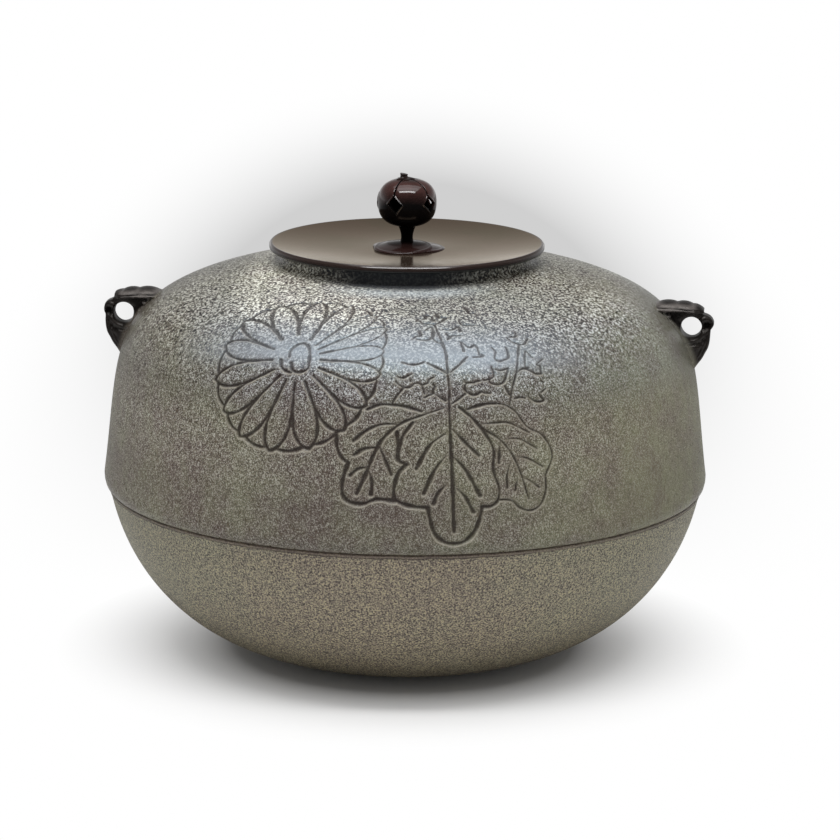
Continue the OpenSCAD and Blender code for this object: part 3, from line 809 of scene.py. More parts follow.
sprays = [
    {"corner": (385, 305), "enlarged": 17.42,
     "strokes": [[(550, 275), (590, 235), (680, 235), (730, 180), (800, 200)],
                 [(600, 270), (680, 320), (790, 330), (860, 335), (950, 300), (1060, 225), (940, 215),
                  (900, 140)],
                 [(800, 190), (850, 265)],
                 [(860, 340), (900, 420), (950, 530), (1000, 660), (1060, 830), (1085, 1030), (1095, 1180)],
                 [(705, 435), (770, 385), (820, 395), (840, 470), (830, 540), (795, 570), (760, 600),
                  (640, 605), (550, 590)],
                 [(470, 590), (540, 545), (620, 520), (600, 440)],
                 [(830, 575), (900, 630), (975, 660)],
                 [(1020, 420), (1100, 430), (1180, 420), (1270, 370)],
                 [(1060, 480), (1110, 530), (1200, 530), (1320, 525)],
                 [(1290, 390), (1310, 450)],
                 [(1090, 600), (1150, 540)],
                 [(1280, 230), (1300, 290), (1370, 345), (1560, 350)],
                 [(1370, 20), (1420, 80), (1470, 140), (1540, 145)],
                 [(1320, 640), (1350, 720), (1375, 800)],
                 [(1350, 640), (1400, 690), (1480, 735), (1560, 690)],
                 [(1300, 1040), (1370, 960), (1440, 900)]]},
    {"corner": (385, 360), "enlarged": 17.42,
     "strokes": [[(110, 790), (180, 660), (310, 500)],
                 [(180, 370), (240, 430), (320, 470), (400, 480), (460, 460), (510, 410), (600, 405),
                  (640, 430), (740, 405),
                  (770, 340), (840, 300)],
                 [(210, 290), (260, 305), (330, 310), (400, 270), (470, 240)],
                 [(430, 310), (450, 370)],
                 [(640, 440), (670, 530), (690, 590)],
                 [(690, 660), (760, 620), (830, 590), (840, 520), (870, 460), (840, 430), (850, 390)],
                 [(860, 590), (940, 640), (1050, 710)],
                 [(290, 40), (420, 75), (520, 80), (620, 60), (690, 30)],
                 [(740, 50), (830, 100), (940, 150), (1010, 190), (1080, 240)],
                 [(1095, 230), (1110, 420), (1120, 560), (1120, 700)],
                 [(1140, 220), (1230, 140), (1380, 10)],
                 [(1170, 760), (1290, 680), (1400, 590)],
                 [(1440, 400), (1400, 430), (1380, 500), (1420, 550), (1500, 600), (1560, 620)],
                 [(1440, 400), (1560, 395)]]},
    {"corner": (465, 310), "enlarged": 15.68,
     "strokes": [[(700, 1500), (720, 1380), (740, 1260), (790, 1050), (820, 930), (830, 800),
                  (840, 640), (850, 540)],
                 [(660, 430), (720, 480), (850, 535), (940, 530), (960, 480), (990, 450)],
                 [(790, 330), (790, 410), (700, 420)],
                 [(950, 640), (940, 760), (960, 900), (1000, 910)],
                 [(960, 640), (1010, 690), (1060, 740)],
                 [(830, 970), (880, 930), (950, 920), (1040, 960), (1110, 1000), (1200, 1000)],
                 [(1230, 760), (1130, 850), (1180, 880), (1200, 1000)],
                 [(430, 590), (480, 650), (470, 740), (500, 790), (570, 800), (620, 780), (680, 750),
                  (680, 680), (650, 580)],
                 [(420, 890), (450, 980), (450, 1050), (390, 1090), (400, 1140), (480, 1170),
                  (560, 1160), (620, 1110), (660, 1000),
                  (670, 920), (560, 950), (480, 930)],
                 [(300, 1105), (390, 1080)],
                 [(620, 1190), (660, 1250), (700, 1330)],
                 [(780, 1390), (860, 1370), (940, 1380)],
                 [(1000, 1300), (1000, 1360), (1080, 1420), (1160, 1440), (1240, 1420), (1200, 1370),
                  (1170, 1330)],
                 [(1200, 1290), (1270, 1230)],
                 [(0, 1180), (30, 1270), (100, 1320), (190, 1325), (260, 1280), (310, 1300), (400, 1305)],
                 [(0, 1130), (60, 1140), (150, 1130), (230, 1110)],
                 [(170, 550), (210, 620), (230, 690), (290, 715), (210, 735), (130, 740)]]},
]
sprayCut = {"width": 0.85, "depth": 0.55, "thin": (3000, 3100, 0)}
# How a line is cut, in millimetres
carving = {
    # Shares of a line's length over which it fills, and thins again
    "full": (0, 0.5), "fading": (0.85, 1),
    # Swing of the width, radians for each millimetre, and axis of the place where it starts
    "uneven": ((0.12, 0.9, 2), (0.1, 0.37, 0)),
    "wide": 1.1, "slim": 0.3, "slimFrom": (100, 155), "slimTo": (156, 164),   # slimmer between these heights
    "thinning": 0.45, "thinFade": 200,
    "reach": 2.5, "closeWidth": 1.1,
    "shade": (0.05, 0.4), "lowerLight": 0.75,       # depths at which a line darkens, painted light on its lower side
    "burrAt": 0.95, "burrWidth": 0.35, "burrRise": 0.3, "burrFull": 0.6, "lineDark": 0.8,
    "margin": 0.42,             # share of a cell beside a line that still needs fine faces
}


def pixelsOf(reading, points):
    return np.array(reading["corner"]) + np.array(points) / reading["enlarged"]


def petalLines(flower):
    # A place in the rosette is a share of the way from the heart to the line between two neighbouring tips. A
    # petal's side keeps to the middle of that gap, then swings over to its own tip. A petal behind closes the
    # gap.
    heart, tips = np.array(flower["heart"], float), np.array(flower["tips"], float)
    across = np.linspace(*flower["behind"], 12)[:, None]
    behind, vault = flower["behindReach"]
    lines = []
    for tip, following in zip(tips, np.roll(tips, -1, 0)):
        start = flower["baseRadius"] / np.linalg.norm((tip + following) / 2 - heart)
        share = np.r_[np.linspace(start, 0.9, 24), 1 - 0.1 * (1 - np.linspace(0.08, 1, 14)) ** 2][:, None]
        beyond = np.clip((share - flower["parting"]) / (1 - flower["parting"]), 0, 1)
        swing = 0.5 * (1 - beyond ** 2.2) ** 0.55
        for own, other in ((tip, following), (following, tip)):
            lines.append(heart + (own + (other - own) * swing - heart) * share)
        reach = tip + (following - tip) * across
        lines.append(heart + (reach - heart) * (behind + vault * np.sin(np.pi * across)))
    return lines


def ornamentLines():
    # Each line on the side as points in millimetres, with its width and depth at each point
    drawn = [(chrysanthemum, line, chrysanthemum, 0.0) for line in petalLines(chrysanthemum)]
    drawn += [(chrysanthemum, flowing(line), chrysanthemum, 0.0) for line in chrysanthemum["scales"]]
    drawn += [(paulownia, flowing(line), paulownia, 0.0) for line in paulownia["outlines"]]
    drawn += [(paulownia, flowing(line), paulownia, 0.45) for line in paulownia["veins"]]
    drawn += [(spray, flowing(line, 5), sprayCut, 0.2) for spray in sprays for line in spray["strokes"]]
    lines = []
    for reading, line, cut, taper in drawn:
        points = castOnSide(pixelsOf(reading, line))
        run = np.r_[0, np.cumsum(np.linalg.norm(np.diff(points, axis=0), axis=1))]
        share = run / run[-1]
        # Thin at the start, fuller towards the end, and uneven as a hand leaves them
        full = 1 - taper * (1 - ramp(share, *carving["full"])) - taper / 3 * ramp(share, *carving["fading"])
        waves = [swing * np.sin(turn * run + points[0, axis]) for swing, turn, axis in carving["uneven"]]
        full = full * (1 + sum(waves))
        # Slimmer on the way up the wall, full again on the shoulder, thin where the reading shows it
        slim = ramp(points[:, 2], *carving["slimFrom"]) - ramp(points[:, 2], *carving["slimTo"])
        start, end, above = cut["thin"]
        column, row = line.T
        thin = ramp(column, start, end) * (1 - ramp(row, above - carving["thinFade"], above))
        thin = 1 - carving["thinning"] * thin
        width = cut["width"] * full * (carving["wide"] - carving["slim"] * slim) * thin
        lines.append((points, width, cut["depth"] * full * np.sqrt(thin)))
    return lines


def lineField(points, lines):
    # How deep the lines cut at each point, how dark they are there (patina and painted shade), the burr along
    # their lower sides, whose pale colour is a painted highlight, and how near they are
    cutDeep, dark, burrHighlight, close = np.zeros((4, len(points)))
    reach = carving["reach"]
    for line, width, depth in lines:
        near = np.all((points > line.min(0) - reach) & (points < line.max(0) + reach), 1)
        if not near.any():
            continue
        spot = points[near][:, None]
        a, b = line[None, :-1], line[None, 1:]
        along = np.clip(np.sum((spot - a) * (b - a), 2) / np.sum((b - a) ** 2, 2).clip(1e-9), 0, 1)
        off = spot - a - along[:, :, None] * (b - a)
        away = np.linalg.norm(off, axis=2)
        k = away.argmin(1)
        rise = np.take_along_axis(off[:, :, 2], k[:, None], 1)[:, 0]
        away, wide, deep = away.min(1), width[:-1][k], depth[:-1][k]
        below = -rise / np.maximum(away, 0.01)
        hollow = deep * (1 - np.clip(away / wide, 0, 1) ** 2) ** 1.5
        # Painted light: a line is left paler on its lower side, where the lamp catches the groove's wall
        lit = carving["lowerLight"] * ramp(below, 0.2, 0.9) * ramp(away / wide, 0.1, 0.6)
        # Burr: raised along the lower side; its pale colour is a painted highlight
        ridge = deep * bell(away - carving["burrAt"] * wide, carving["burrWidth"]) * ramp(below, -0.3, 0.8)
        shade = ramp(hollow, *carving["shade"]) * (1 - lit)
        beside = bell(away, carving["closeWidth"])
        for field, value in ((cutDeep, hollow), (dark, shade), (burrHighlight, ridge), (close, beside)):
            field[near] = np.maximum(field[near], value)
    return cutDeep, dark, burrHighlight * (1 - 0.8 * ramp(dark, 0.3, 0.8)), close


def finelyTurned(profile, columns, split, fine):
    # The section turned round the axis. A cell of the plain grid is one face, or split by split faces where
    # fine says so, and a plain cell beside those takes the extra corners into its edge.
    tall, wide = len(profile), columns * split
    block = np.kron(fine, np.ones((split, split), bool))
    used = block | np.roll(block, 1, 0) | np.roll(block, 1, 1) | np.roll(block, (1, 1), (0, 1))
    used[::split, ::split] = True
    number = np.cumsum(used).reshape(used.shape) - 1

    def at(i, j):
        return number[i % tall, j % wide]

    def quads(i, j, step):
        return np.stack([at(i, j), at(i, j + step), at(i + step, j + step), at(i + step, j)], 1)

    beside = ~fine & np.any([np.roll(fine, s, k) for s in (-1, 1) for k in (0, 1)], 0)
    plain = np.stack(np.nonzero(~fine & ~beside)) * split
    run, rest, full = np.arange(split), split - np.arange(split), np.full(split, split)
    di = np.concatenate([0 * run, run, full, rest])
    dj = np.concatenate([run, full, rest, 0 * run])
    faces = [quads(*np.nonzero(block), 1), quads(*plain, split)]
    for i, j in np.argwhere(beside) * split:
        i, j = (i + di) % tall, (j + dj) % wide
        faces.append(number[i, j][used[i, j]][None])
    row, column = np.nonzero(used)
    angle = column / wide * 2 * np.pi
    way = (np.roll(profile, -1, 0) - np.roll(profile, 1, 0))[row]
    way /= np.linalg.norm(way, axis=1)[:, None]
    r, z = profile[row].T
    points = np.stack([r * np.cos(angle), r * np.sin(angle), z], 1)
    outward = np.stack([way[:, 1] * np.cos(angle), way[:, 1] * np.sin(angle), -way[:, 0]], 1)
    return points, outward, faces


def fineCells(profile, lines):
    # Cells of the plain grid within a line's reach
    split, columns = body["split"], body["columns"]
    rows = len(profile) // split
    drawn = np.vstack([line for line, width, depth in lines])
    first = body["lipRows"] * split
    sideRows = np.arange(first, first + body["sideRows"] * split)
    rowOf = np.interp(drawn[:, 2], profile[sideRows, 1], sideRows) / split
    columnOf = np.arctan2(drawn[:, 1], drawn[:, 0]) / (2 * np.pi) * columns
    fine = np.zeros((rows, columns), bool)
    margin = carving["margin"]
    for up in (-margin, margin):
        for aside in (-margin, margin):
            row, column = np.floor(rowOf + up).astype(int), np.floor(columnOf + aside).astype(int)
            fine[row % rows, column % columns] = True
    return fine


def upperBody():
    profile = upperSection(body["split"])
    lines = ornamentLines()
    points, outward, faces = finelyTurned(profile, body["columns"], body["split"], fineCells(profile, lines))
    cutDeep, dark, burrHighlight, close = lineField(points, lines)
    outer = np.hypot(points[:, 0], points[:, 1]) > sideRadius(points[:, 2]) - 1
    move = np.where(outer, carving["burrRise"] * burrHighlight - cutDeep, 0)
    shares = {"line": carving["lineDark"] * dark, "burrHighlight": burrHighlight / carving["burrFull"], "close": close}
    marks = {name: np.where(outer, share, 0) for name, share in shares.items()}
    piece = putMesh("upperBody", points + outward * move[:, None], faces, marks=marks)
    dress(piece, ironSkin(), "kettle", "iron_skin", "upper_body")


# Bottom bowl
bowl = {
    "seamInset": 0.4,
    "baseRadius": 35.75,
    "lean": 10.2,               # degrees inwards at the seam
    "sideReach": 41.0,
    "baseReach": 57.0,
    "wall": 4.0,
    "lapWall": 3.4,
    "jointGap": 0.1,
    # Joint standing out below the lip, from the seam's edge outwards and up
    "bead": [(0, 0), (-0.3, -0.2), (-0.1, -0.45), (0.15, -0.75), (0.25, -1.1), (0.15, -1.45), (-0.15, -1.7),
             (-0.2, -1.9), (-0.1, -2.15)],
    "beadHeight": 2.4,
    "columns": 192,
}


def bottomBowl():
    # Outside down to the base, then the lap and the inside down to the floor, turned about the axis
    baseR, wall = bowl["baseRadius"], bowl["wall"]
    lapR = seamR - body["lipWall"] - bowl["jointGap"]
    lapInR = lapR - bowl["lapWall"]
    top = np.array([seamR - bowl["seamInset"], seamZ])
    outside = bezier(top, top + leaning(bowl["sideReach"], 270 - bowl["lean"]),
                     (baseR + bowl["baseReach"], 0), (baseR, 0), 400)
    inside = sidestep(outside, -wall)
    inside = inside[inside[:, 1] < seamZ - bowl["lapWall"]]
    shell = evenly(outside, 64, last=True)
    shell = np.vstack([top + bowl["bead"], shell[shell[:, 1] < seamZ - bowl["beadHeight"]]])
    lap = [(lapR, seamZ), (lapR, lapZ), (lapInR, lapZ), (lapInR, seamZ)]
    section = np.vstack([(0, 0), (baseR / 2, 0), shell[::-1], lap, evenly(inside, 40, last=True),
                         (baseR / 2, wall), (0, wall)])
    points, faces = poled(section, bowl["columns"])
    piece = putMesh("bottomBowl", points, faces, sharp=40)
    dress(piece, ironBottom(), "kettle", "iron_bottom", "bottom_bowl")


# Lugs, measured from the eye's centre: a outwards, b across, c upwards
lug = {
    "browRise": 11.25, "browFall": 3.4, "browHalf": 8.0, "tipDrop": 0.8, "browTaper": 0.68, "browUnder": 0.9,
    "lobes": [(-10.2, 0.0, 10.0), (-3.6, 0.27, 7.5), (1.2, 1.5, 5.2)],      # place, drop, radius
    "browBack": -17.0, "browTip": (5.4, 3.9),               # right and left
    "grooves": [(0.75, 0.5, 0.24), (1.65, 0.35, 0.26)],     # height over the brow's edge, depth, width
    # Free edge from over the eye round the nose and down the jaw, then the span of the root in the wall
    "outline": [(-9.0, 8.4), (-3, 8.4), (2.5, 8.0), (4.4, 6.7), (5.6, 5.6), (7.2, 5.0), (8.5, 4.0),
                (9.2, 2.6),
                (9.4, 1.4), (9.1, 0.1), (8.4, -1.2), (8.3, -3.6), (8.1, -6.4), (7.5, -9.2), (6.3, -11.6),
                (5, -14.2), (3.3, -16.5), (1.8, -18.6)],
    "rootSpan": (-19.2, 8.4),
    "loopHalf": 4.25, "jawHalf": 2.5, "jawDrop": 19.5, "squareness": 0.42,
    "eyeRim": (0.5, 1.4, 0.9), "eyeGroove": (0.8, 3.3, 0.6),    # height, distance from the eye, width
    "jawGrooves": (1.7, 3.6), "jawGroove": (0.6, 0.45),         # distances from the edge; depth, width
    "nose": (5.6, 2.2), "noseRadius": 4.2, "noseHalf": 5.6, "noseReach": (0.45, -0.5),      # right and left
    "noseSwell": (1.8, 2.6),        # height and width of the edge that the reach moves
    "nostril": (6.5, 1.0), "nostrilRadius": 2.2, "nostrilDepth": 2.8, "nostrilSlim": 0.8, "nostrilShade": 2.3,
    "curl": (-10.7, 6.2), "curlRadius": 1.9, "curlHalf": 6.3,
    "scroll": [(-7.6, 8.2), (-9.4, 8.4), (-11.2, 8.0), (-12.1, 6.9), (-11.9, 5.6), (-10.9, 4.8), (-9.8, 5.0),
               (-9.3, 5.9)],
    "scrollBead": 0.75,
    "flare": 2.4, "flareReach": 1.5,    # fillet where the loop meets the body
    "sunk": 2.0,                        # depth of the root in the body's wall
    "voxel": 0.24, "softening": 2,
}
eyes = {m["name"]: m for m in frame["record"]["mounts"] if m["kind"] == "bore"}
eyeX, eyeY, eyeZ = np.array(eyes["right_ring_eye"]["pos_m"]) / mm
eyeR = eyes["right_ring_eye"]["dims"]["r_mm"]


def wallPlace(height):
    return sideRadius(eyeZ + height) - eyeX


def lugOutline(angle, noseReach):
    # Distance from the eye to the loop's outer edge: over the top, nose and notch, then the jaw down
    # to the body
    free = np.array(lug["outline"])
    level, swell = lug["noseSwell"]
    free[:, 0] += noseReach * bell(free[:, 1] - level, swell) * ramp(free[:, 0], 5, 8)
    height = np.linspace(*lug["rootSpan"], 40)
    wall = np.stack([wallPlace(height) - lug["sunk"], height], 1)
    edge = np.vstack([flowing(free, 4), wall])
    at = np.unwrap(np.arctan2(edge[:, 1], edge[:, 0]))
    order = np.argsort(at)
    return np.interp(angle, at[order], np.hypot(*edge.T)[order], period=2 * np.pi)


def lugLoop(noseReach):
    # About the eye, the section from the eye's rim to the outline is a rounded bar whose half width follows
    # the place
    rows, columns = 320, 96
    angle, turn = around(rows)[:, None], around(columns)[None]
    out = lugOutline(angle, noseReach)

    def squared(x):
        return np.sign(x) * np.abs(x) ** lug["squareness"]

    reach = (eyeR + out) / 2 + (out - eyeR) / 2 * squared(np.cos(turn))
    a, c = reach * np.cos(angle), reach * np.sin(angle)
    fromWall, fromEdge, fromEye = a - wallPlace(c), out - reach, reach - eyeR
    half = lug["loopHalf"] + (lug["jawHalf"] - lug["loopHalf"]) * ramp(-c, 6, lug["jawDrop"])
    noseA, noseC = lug["nose"]
    off = ((a - noseA) ** 2 + (c - noseC) ** 2) / lug["noseRadius"] ** 2
    half = np.maximum(half, lug["noseHalf"] * np.sqrt(np.clip(1 - off, 0, 1)))
    holeA, holeC = lug["nostril"]
    hole = np.hypot((a - holeA) / lug["nostrilSlim"], c - holeC)
    half = half - lug["nostrilDepth"] * bell(hole, lug["nostrilRadius"])
    # Raised rim and groove under the eye, ridges down the jaw, fillet at the body
    (rim, rimAt, rimWidth), (groove, grooveAt, grooveWidth) = lug["eyeRim"], lug["eyeGroove"]
    under = rim * bell(fromEye - rimAt, rimWidth) - groove * bell(fromEye - grooveAt, grooveWidth)
    half = half + ramp(-c, 0, 4) * under
    jaw = ramp(-c, 4, 7) * ramp(fromWall, 1, 3)
    depth, width = lug["jawGroove"]
    half = half - jaw * depth * sum(bell(fromEdge - place, width) for place in lug["jawGrooves"])
    half = half + lug["flare"] * np.exp(-np.clip(fromWall, 0, None) / lug["flareReach"])
    return np.stack([a, half * squared(np.sin(turn)), c], 2).reshape(-1, 3), [wrapFaces(rows, columns)]


def browEdge(along, tip):
    return lug["browRise"] - lug["browFall"] - lug["tipDrop"] * ramp(along, -10, tip)


def lugBrow(tip):
    # Along the brow, a vaulted section: crest from three lobes, grooves over the lower edge, hollow below
    along = np.linspace(lug["browBack"], tip, 130)[:, None]
    edge = browEdge(along, tip)
    crest = edge + 0.6
    for place, drop, radius in lug["lobes"]:
        circle = np.sqrt(np.clip(radius ** 2 - (along - place) ** 2, 0, None))
        crest = np.maximum(crest, lug["browRise"] - drop - radius + circle)
    wide = lug["browHalf"] * np.sqrt(1 - lug["browTaper"] * ramp(along, 0.5, tip + 0.4))
    turn = around(160)[None]
    b, up = np.cos(turn), np.sin(turn)
    rise = (crest - edge) * np.clip(up, 0, 1) ** 0.9
    cut = sum(depth * bell(rise - height, width) for height, depth, width in lug["grooves"])
    cut = cut * ramp(tip - along, 0.8, 3)
    deep, down = lug["browUnder"], np.clip(-up, 0, 1)
    under = deep * down ** 2 - deep * down ** 0.35
    c = edge + np.where(up >= 0, rise, under)
    rings = np.stack([along + 0 * b, wide * b - np.sign(b) * np.where(up >= 0, cut, 0), c], 2)
    return lofted(rings)


def lugCurl():
    # The brow's edge rolled under against the body: circles across the lug that close towards its sides
    b = lug["curlHalf"] * np.sin(np.linspace(-np.pi / 2, np.pi / 2, 17))[1:-1, None]
    turn = around(32)[None]
    r = lug["curlRadius"] * (1 - (b / lug["curlHalf"]) ** 8) ** 0.5
    a, c = lug["curl"]
    rings = np.stack([a + r * np.cos(turn), b + 0 * turn, c + r * np.sin(turn)], 2)
    return lofted(rings[:, ::-1])


def lugScroll(way):
    # A bead that runs on from the brow's edge and curls in on itself, on the lug's side
    path = flowing(lug["scroll"])
    turn = around(24)[None]
    r = lug["scrollBead"] * np.sqrt(1 - np.linspace(-0.98, 0.98, len(path)) ** 6)[:, None]
    aside = sidestep(path, 1.0) - path
    rings = np.stack([path[:, :1] + r * np.cos(turn) * aside[:, :1], way * lug["curlHalf"] + r * np.sin(turn),
                      path[:, 1:] + r * np.cos(turn) * aside[:, 1:]], 2)
    return lofted(rings)


lugLook = {
    # hole: painted shade in the nostrils' hollows
    "dark": tone(18, 15, 14), "brown": tone(38, 33, 31), "worn": tone(92, 87, 84), "hole": tone(6, 5, 5),
    "spots": 300.0, "spotTurn": (0.35, 0.7), "wornSpots": (0.35, 0.6, 0.5, 1.0),
    "rough": (0.3, 0.7, 0.33, 0.46), "gloss": (0.2, 0.8, 0.35, 0.05), "shine": (1.0, 0.95, 0.9, 1.0),
    "pitDepth": 0.00012,
}


def lugIron():
    # Dark smooth iron that takes on the body's patina at the root
    look = lugLook
    finish, tree, shader = newFinish("lugIron")
    spot = objectPlace(tree)
    spots = noise(tree, spot[0], look["spots"], 4.0, 0.6)
    skin, height, coarse = grainedSkin(tree, spot, 1.0)
    hole = markOf(tree, "hole")
    # Pale bands on the brow: wear and painted highlight where the lamp catches its ridges
    worn = times(tree, markOf(tree, "brow"), spread(tree, spots, *look["wornSpots"]))
    colour = blendColour(tree, spread(tree, spots, *look["spotTurn"]), look["dark"], look["brown"])
    colour = blendColour(tree, worn, colour, look["worn"])
    # Painted shade in the nostrils' hollows
    colour = blendColour(tree, hole, colour, look["hole"])
    feed(tree, shader, {
        "Base Color": blendColour(tree, markOf(tree, "root"), colour, skin),
        "Normal": bumped(tree, height, look["pitDepth"], 0.8),
        "Roughness": spread(tree, spots, *look["rough"]),
        "Specular IOR Level": spread(tree, hole, *look["gloss"]),
        "Specular Tint": look["shine"],
    })
    return finish


def lugMarks(piece, way, tip):
    # Where the body's patina takes over, painted shade in the nostrils, and the brow's wear and painted
    # highlight
    at = places(piece)
    beyond = np.hypot(at[:, 0], at[:, 1]) - sideRadius(at[:, 2])
    off = (at - (way * eyeX, eyeY, eyeZ)) * (way, 1, 1)
    a, b, c = off.T
    addMark(piece.data, "root", 1 - ramp(beyond, 0.3, 1.7 + 1.5 * ramp(-c, 0, 8)))
    holeA, holeC = lug["nostril"]
    addMark(piece.data, "hole", bell(np.hypot(a - holeA, c - holeC), lug["nostrilShade"]))
    rise = c - browEdge(a, tip)
    upper = ramp(rise, 1.2, 1.6) * (1 - ramp(rise, 2.0, 3.2)) * (1 - ramp(a, 0, 3))
    lower = ramp(rise, 0.0, 0.3) * (1 - ramp(rise, 0.5, 0.9)) * (1 - ramp(a, -6, -3))
    near = np.linalg.norm(off[:, None, ::2] - flowing(lug["scroll"])[None], axis=2).min(1)
    scroll = (1 - ramp(near, 0.5, 1.0)) * ramp(np.abs(b), 5.6, 6.4)
    addMark(piece.data, "brow", np.max([upper, lower, scroll], 0))


def lugs():
    finish = lugIron()
    sides = (("rightLug", "right_lug", 1), ("leftLug", "left_lug", -1))
    for (name, solid, way), reach, tip in zip(sides, lug["noseReach"], lug["browTip"]):
        points, faces = joined([lugLoop(reach), lugBrow(tip), lugCurl(), lugScroll(-1), lugScroll(1)])
        placed = (points + (eyeX, eyeY, eyeZ)) * (way, 1, 1)
        piece = putMesh(name, placed, [f[:, ::way] for f in faces])
        piece = fused(piece, lug["voxel"], lug["softening"])
        lugMarks(piece, way, tip)
        dress(piece, finish, "kettle", "lug_iron", solid)


# Lid
lid = {
    "edge": 3.0, "edgeRound": 1.0,
    "bevel": (33.0, 43.0, 4.6),         # polished edge: degrees from and to, and radius
    "bevelRound": 0.5,
    "scoop": 2.9, "plate": 2.6, "flatRadius": 18.0, "flatRing": 10.0,
    "holeRadius": 2.25, "collarWall": 2.7, "collarGap": 0.6, "columns": 192,
}
lidR, lidTopZ, collarZ = lidHigh[0], lidHigh[2], lidLow[2]
flatZ = lidTopZ - lid["scoop"]
underZ = flatZ - lid["plate"]


def scoopAt(r):
    # An arc that rises from the flat at the centre to the lid's edge
    run = lidR - lid["edgeRound"] - lid["flatRadius"]
    arc = (run ** 2 + lid["scoop"] ** 2) / (2 * lid["scoop"])
    return flatZ + arc - np.sqrt(arc ** 2 - np.clip(r - lid["flatRadius"], 0, None) ** 2)


def bevelledEdge():
    # A small round, a nearly flat bevel and a small round, from the side to the top
    start, end, flat = lid["bevel"]
    small, steps = lid["bevelRound"], 6
    turns, runs = [], []
    for a, b, radius in ((0, start, small), (start, end, flat), (end, 90, small)):
        angles = np.linspace(a, b, steps + 1)
        turns.append((angles[1:] + angles[:-1]) / 2)
        runs.append(np.full(steps, radius * np.radians(b - a) / steps))
    turn, run = np.radians(np.concatenate(turns)), np.concatenate(runs)
    path = np.cumsum(np.stack([-np.sin(turn) * run, np.cos(turn) * run], 1), 0)
    path = np.vstack([[0, 0], path])
    return path - (0, path[-1, 1]) + (lidR, lidTopZ)


def lidPlate():
    # Closed section: underside of the rim, edge, scooped top, hole, underside and collar
    soft, hole, ring = lid["edgeRound"], lid["holeRadius"], lid["flatRing"]
    edge = bevelledEdge()
    collarR = mouthR - lid["collarGap"]
    bore = collarR - lid["collarWall"]
    r = np.linspace(edge[-1, 0] - 0.3, lid["flatRadius"], 30)
    q = np.linspace(lid["flatRadius"], bore, 14)
    section = np.vstack([
        (collarR, rimZ), (neckR + lid["edge"], rimZ),
        oval((lidR - soft, lidTopZ - lid["edge"] + soft), soft, soft, -90, 0, 6),
        edge, np.stack([r, np.minimum(scoopAt(r), lidTopZ)], 1),
        (ring, flatZ), (hole, flatZ), (hole, underZ), (ring, underZ),
        np.stack([q, scoopAt(q) - lid["plate"]], 1), (bore, collarZ), (collarR, collarZ),
    ])
    points, faces = turned(section, lid["columns"])
    piece = putMesh("lidPlate", points.reshape(-1, 3), [faces], sharp=50)
    dress(piece, lidBronze(), "lid", "lid_bronze", "lid_plate")


# Knob: seat of three petals, stem, bud with lozenge openings, calyx
knob = {
    "seatRadius": 16.5, "seatTurn": -110.0, "seatThick": 1.2, "seatRim": 0.15,
    "petalRadius": 12.7, "petals": 3, "petalRise": 1.4, "petalFall": 2.5, "petalBead": 0.14,
    "petalSteps": (0.5, 0.05, 0.25),        # how high each petal lies over the vault
    "footRadius": 4.2, "waistRadius": 2.6, "stemTopRadius": 3.8, "stemHeight": 8.6,
    "tangRadius": 2.2, "rivetRound": 1.4, "washer": 1.0,
    "budRadius": 12.9, "budHeight": 21.2, "budWall": 1.4, "squareness": 0.69, "stalkHole": 0.85,
    "openings": (-20.0, 55.0, 126.0, 194.0, 262.0),     # degrees from the front
    "openingLift": 0.7, "openingHalf": (3.5, 3.7),      # across, up
    "openingLean": 0.16,                                # aside for each step down
    "openingReach": 0.6,                                # radians round an opening in which it shapes the bud
    "lip": 0.4, "lipPlace": 0.35, "lipWidth": 0.38, "seamDepth": 0.8, "seamWidth": 0.32,
    "calyxPlace": -0.9, "calyxRadius": 4.3, "stalkPlace": -1.6, "stalkRadius": 1.7, "stalkHeight": 1.5,
}
seatZ = flatZ + knob["seatThick"]
budZ = seatZ + knob["stemHeight"]
budMidZ = budZ + knob["budHeight"] / 2
openingTurns = np.radians(np.array(knob["openings"]) - 90)


def knobSeat(finish):
    # Three vaulted petals that overlap, the front one uppermost. Round the stem, a section runs from the hole
    # to the outermost edge.
    angle = around(360)[:, None]
    petal, hole = knob["petalRadius"], lid["holeRadius"]
    middle = knob["seatRadius"] - petal
    turns = np.radians(knob["seatTurn"] + 360 / knob["petals"] * np.arange(knob["petals"]))
    edges = [middle * np.cos(angle - t) + np.sqrt(petal ** 2 - (middle * np.sin(angle - t)) ** 2)
             for t in turns]
    edge = np.max(edges, 0)
    r = hole + (edge - hole) * np.linspace(0, 1, 56)[None]
    x, y = r * np.cos(angle), r * np.sin(angle)
    topZ = np.full_like(r, seatZ)
    dome = seatZ + knob["petalRise"] - knob["petalFall"] * (r / knob["seatRadius"]) ** 1.6
    for t, step in list(zip(turns, knob["petalSteps"]))[::-1]:
        off = np.hypot(x - middle * np.cos(t), y - middle * np.sin(t)) / petal
        vault = dome + step + knob["petalBead"] * bell(off - 0.95, 0.035)
        topZ = np.where(off < 1.001, vault, topZ)
    under = np.maximum(flatZ, topZ - knob["seatThick"])
    rim = edge + knob["seatRim"]
    rimPoint = np.stack([rim * np.cos(angle), rim * np.sin(angle), (topZ[:, -1:] + under[:, -1:]) / 2], 2)
    grid = np.concatenate([np.stack([x, y, under], 2), rimPoint, np.stack([x, y, topZ], 2)[:, ::-1]], 1)
    piece = putMesh("knobSeat", grid.reshape(-1, 3), [wrapFaces(*grid.shape[:2])[:, ::-1]])
    dress(piece, finish, "lid", "knob_bronze", "knob_seat")


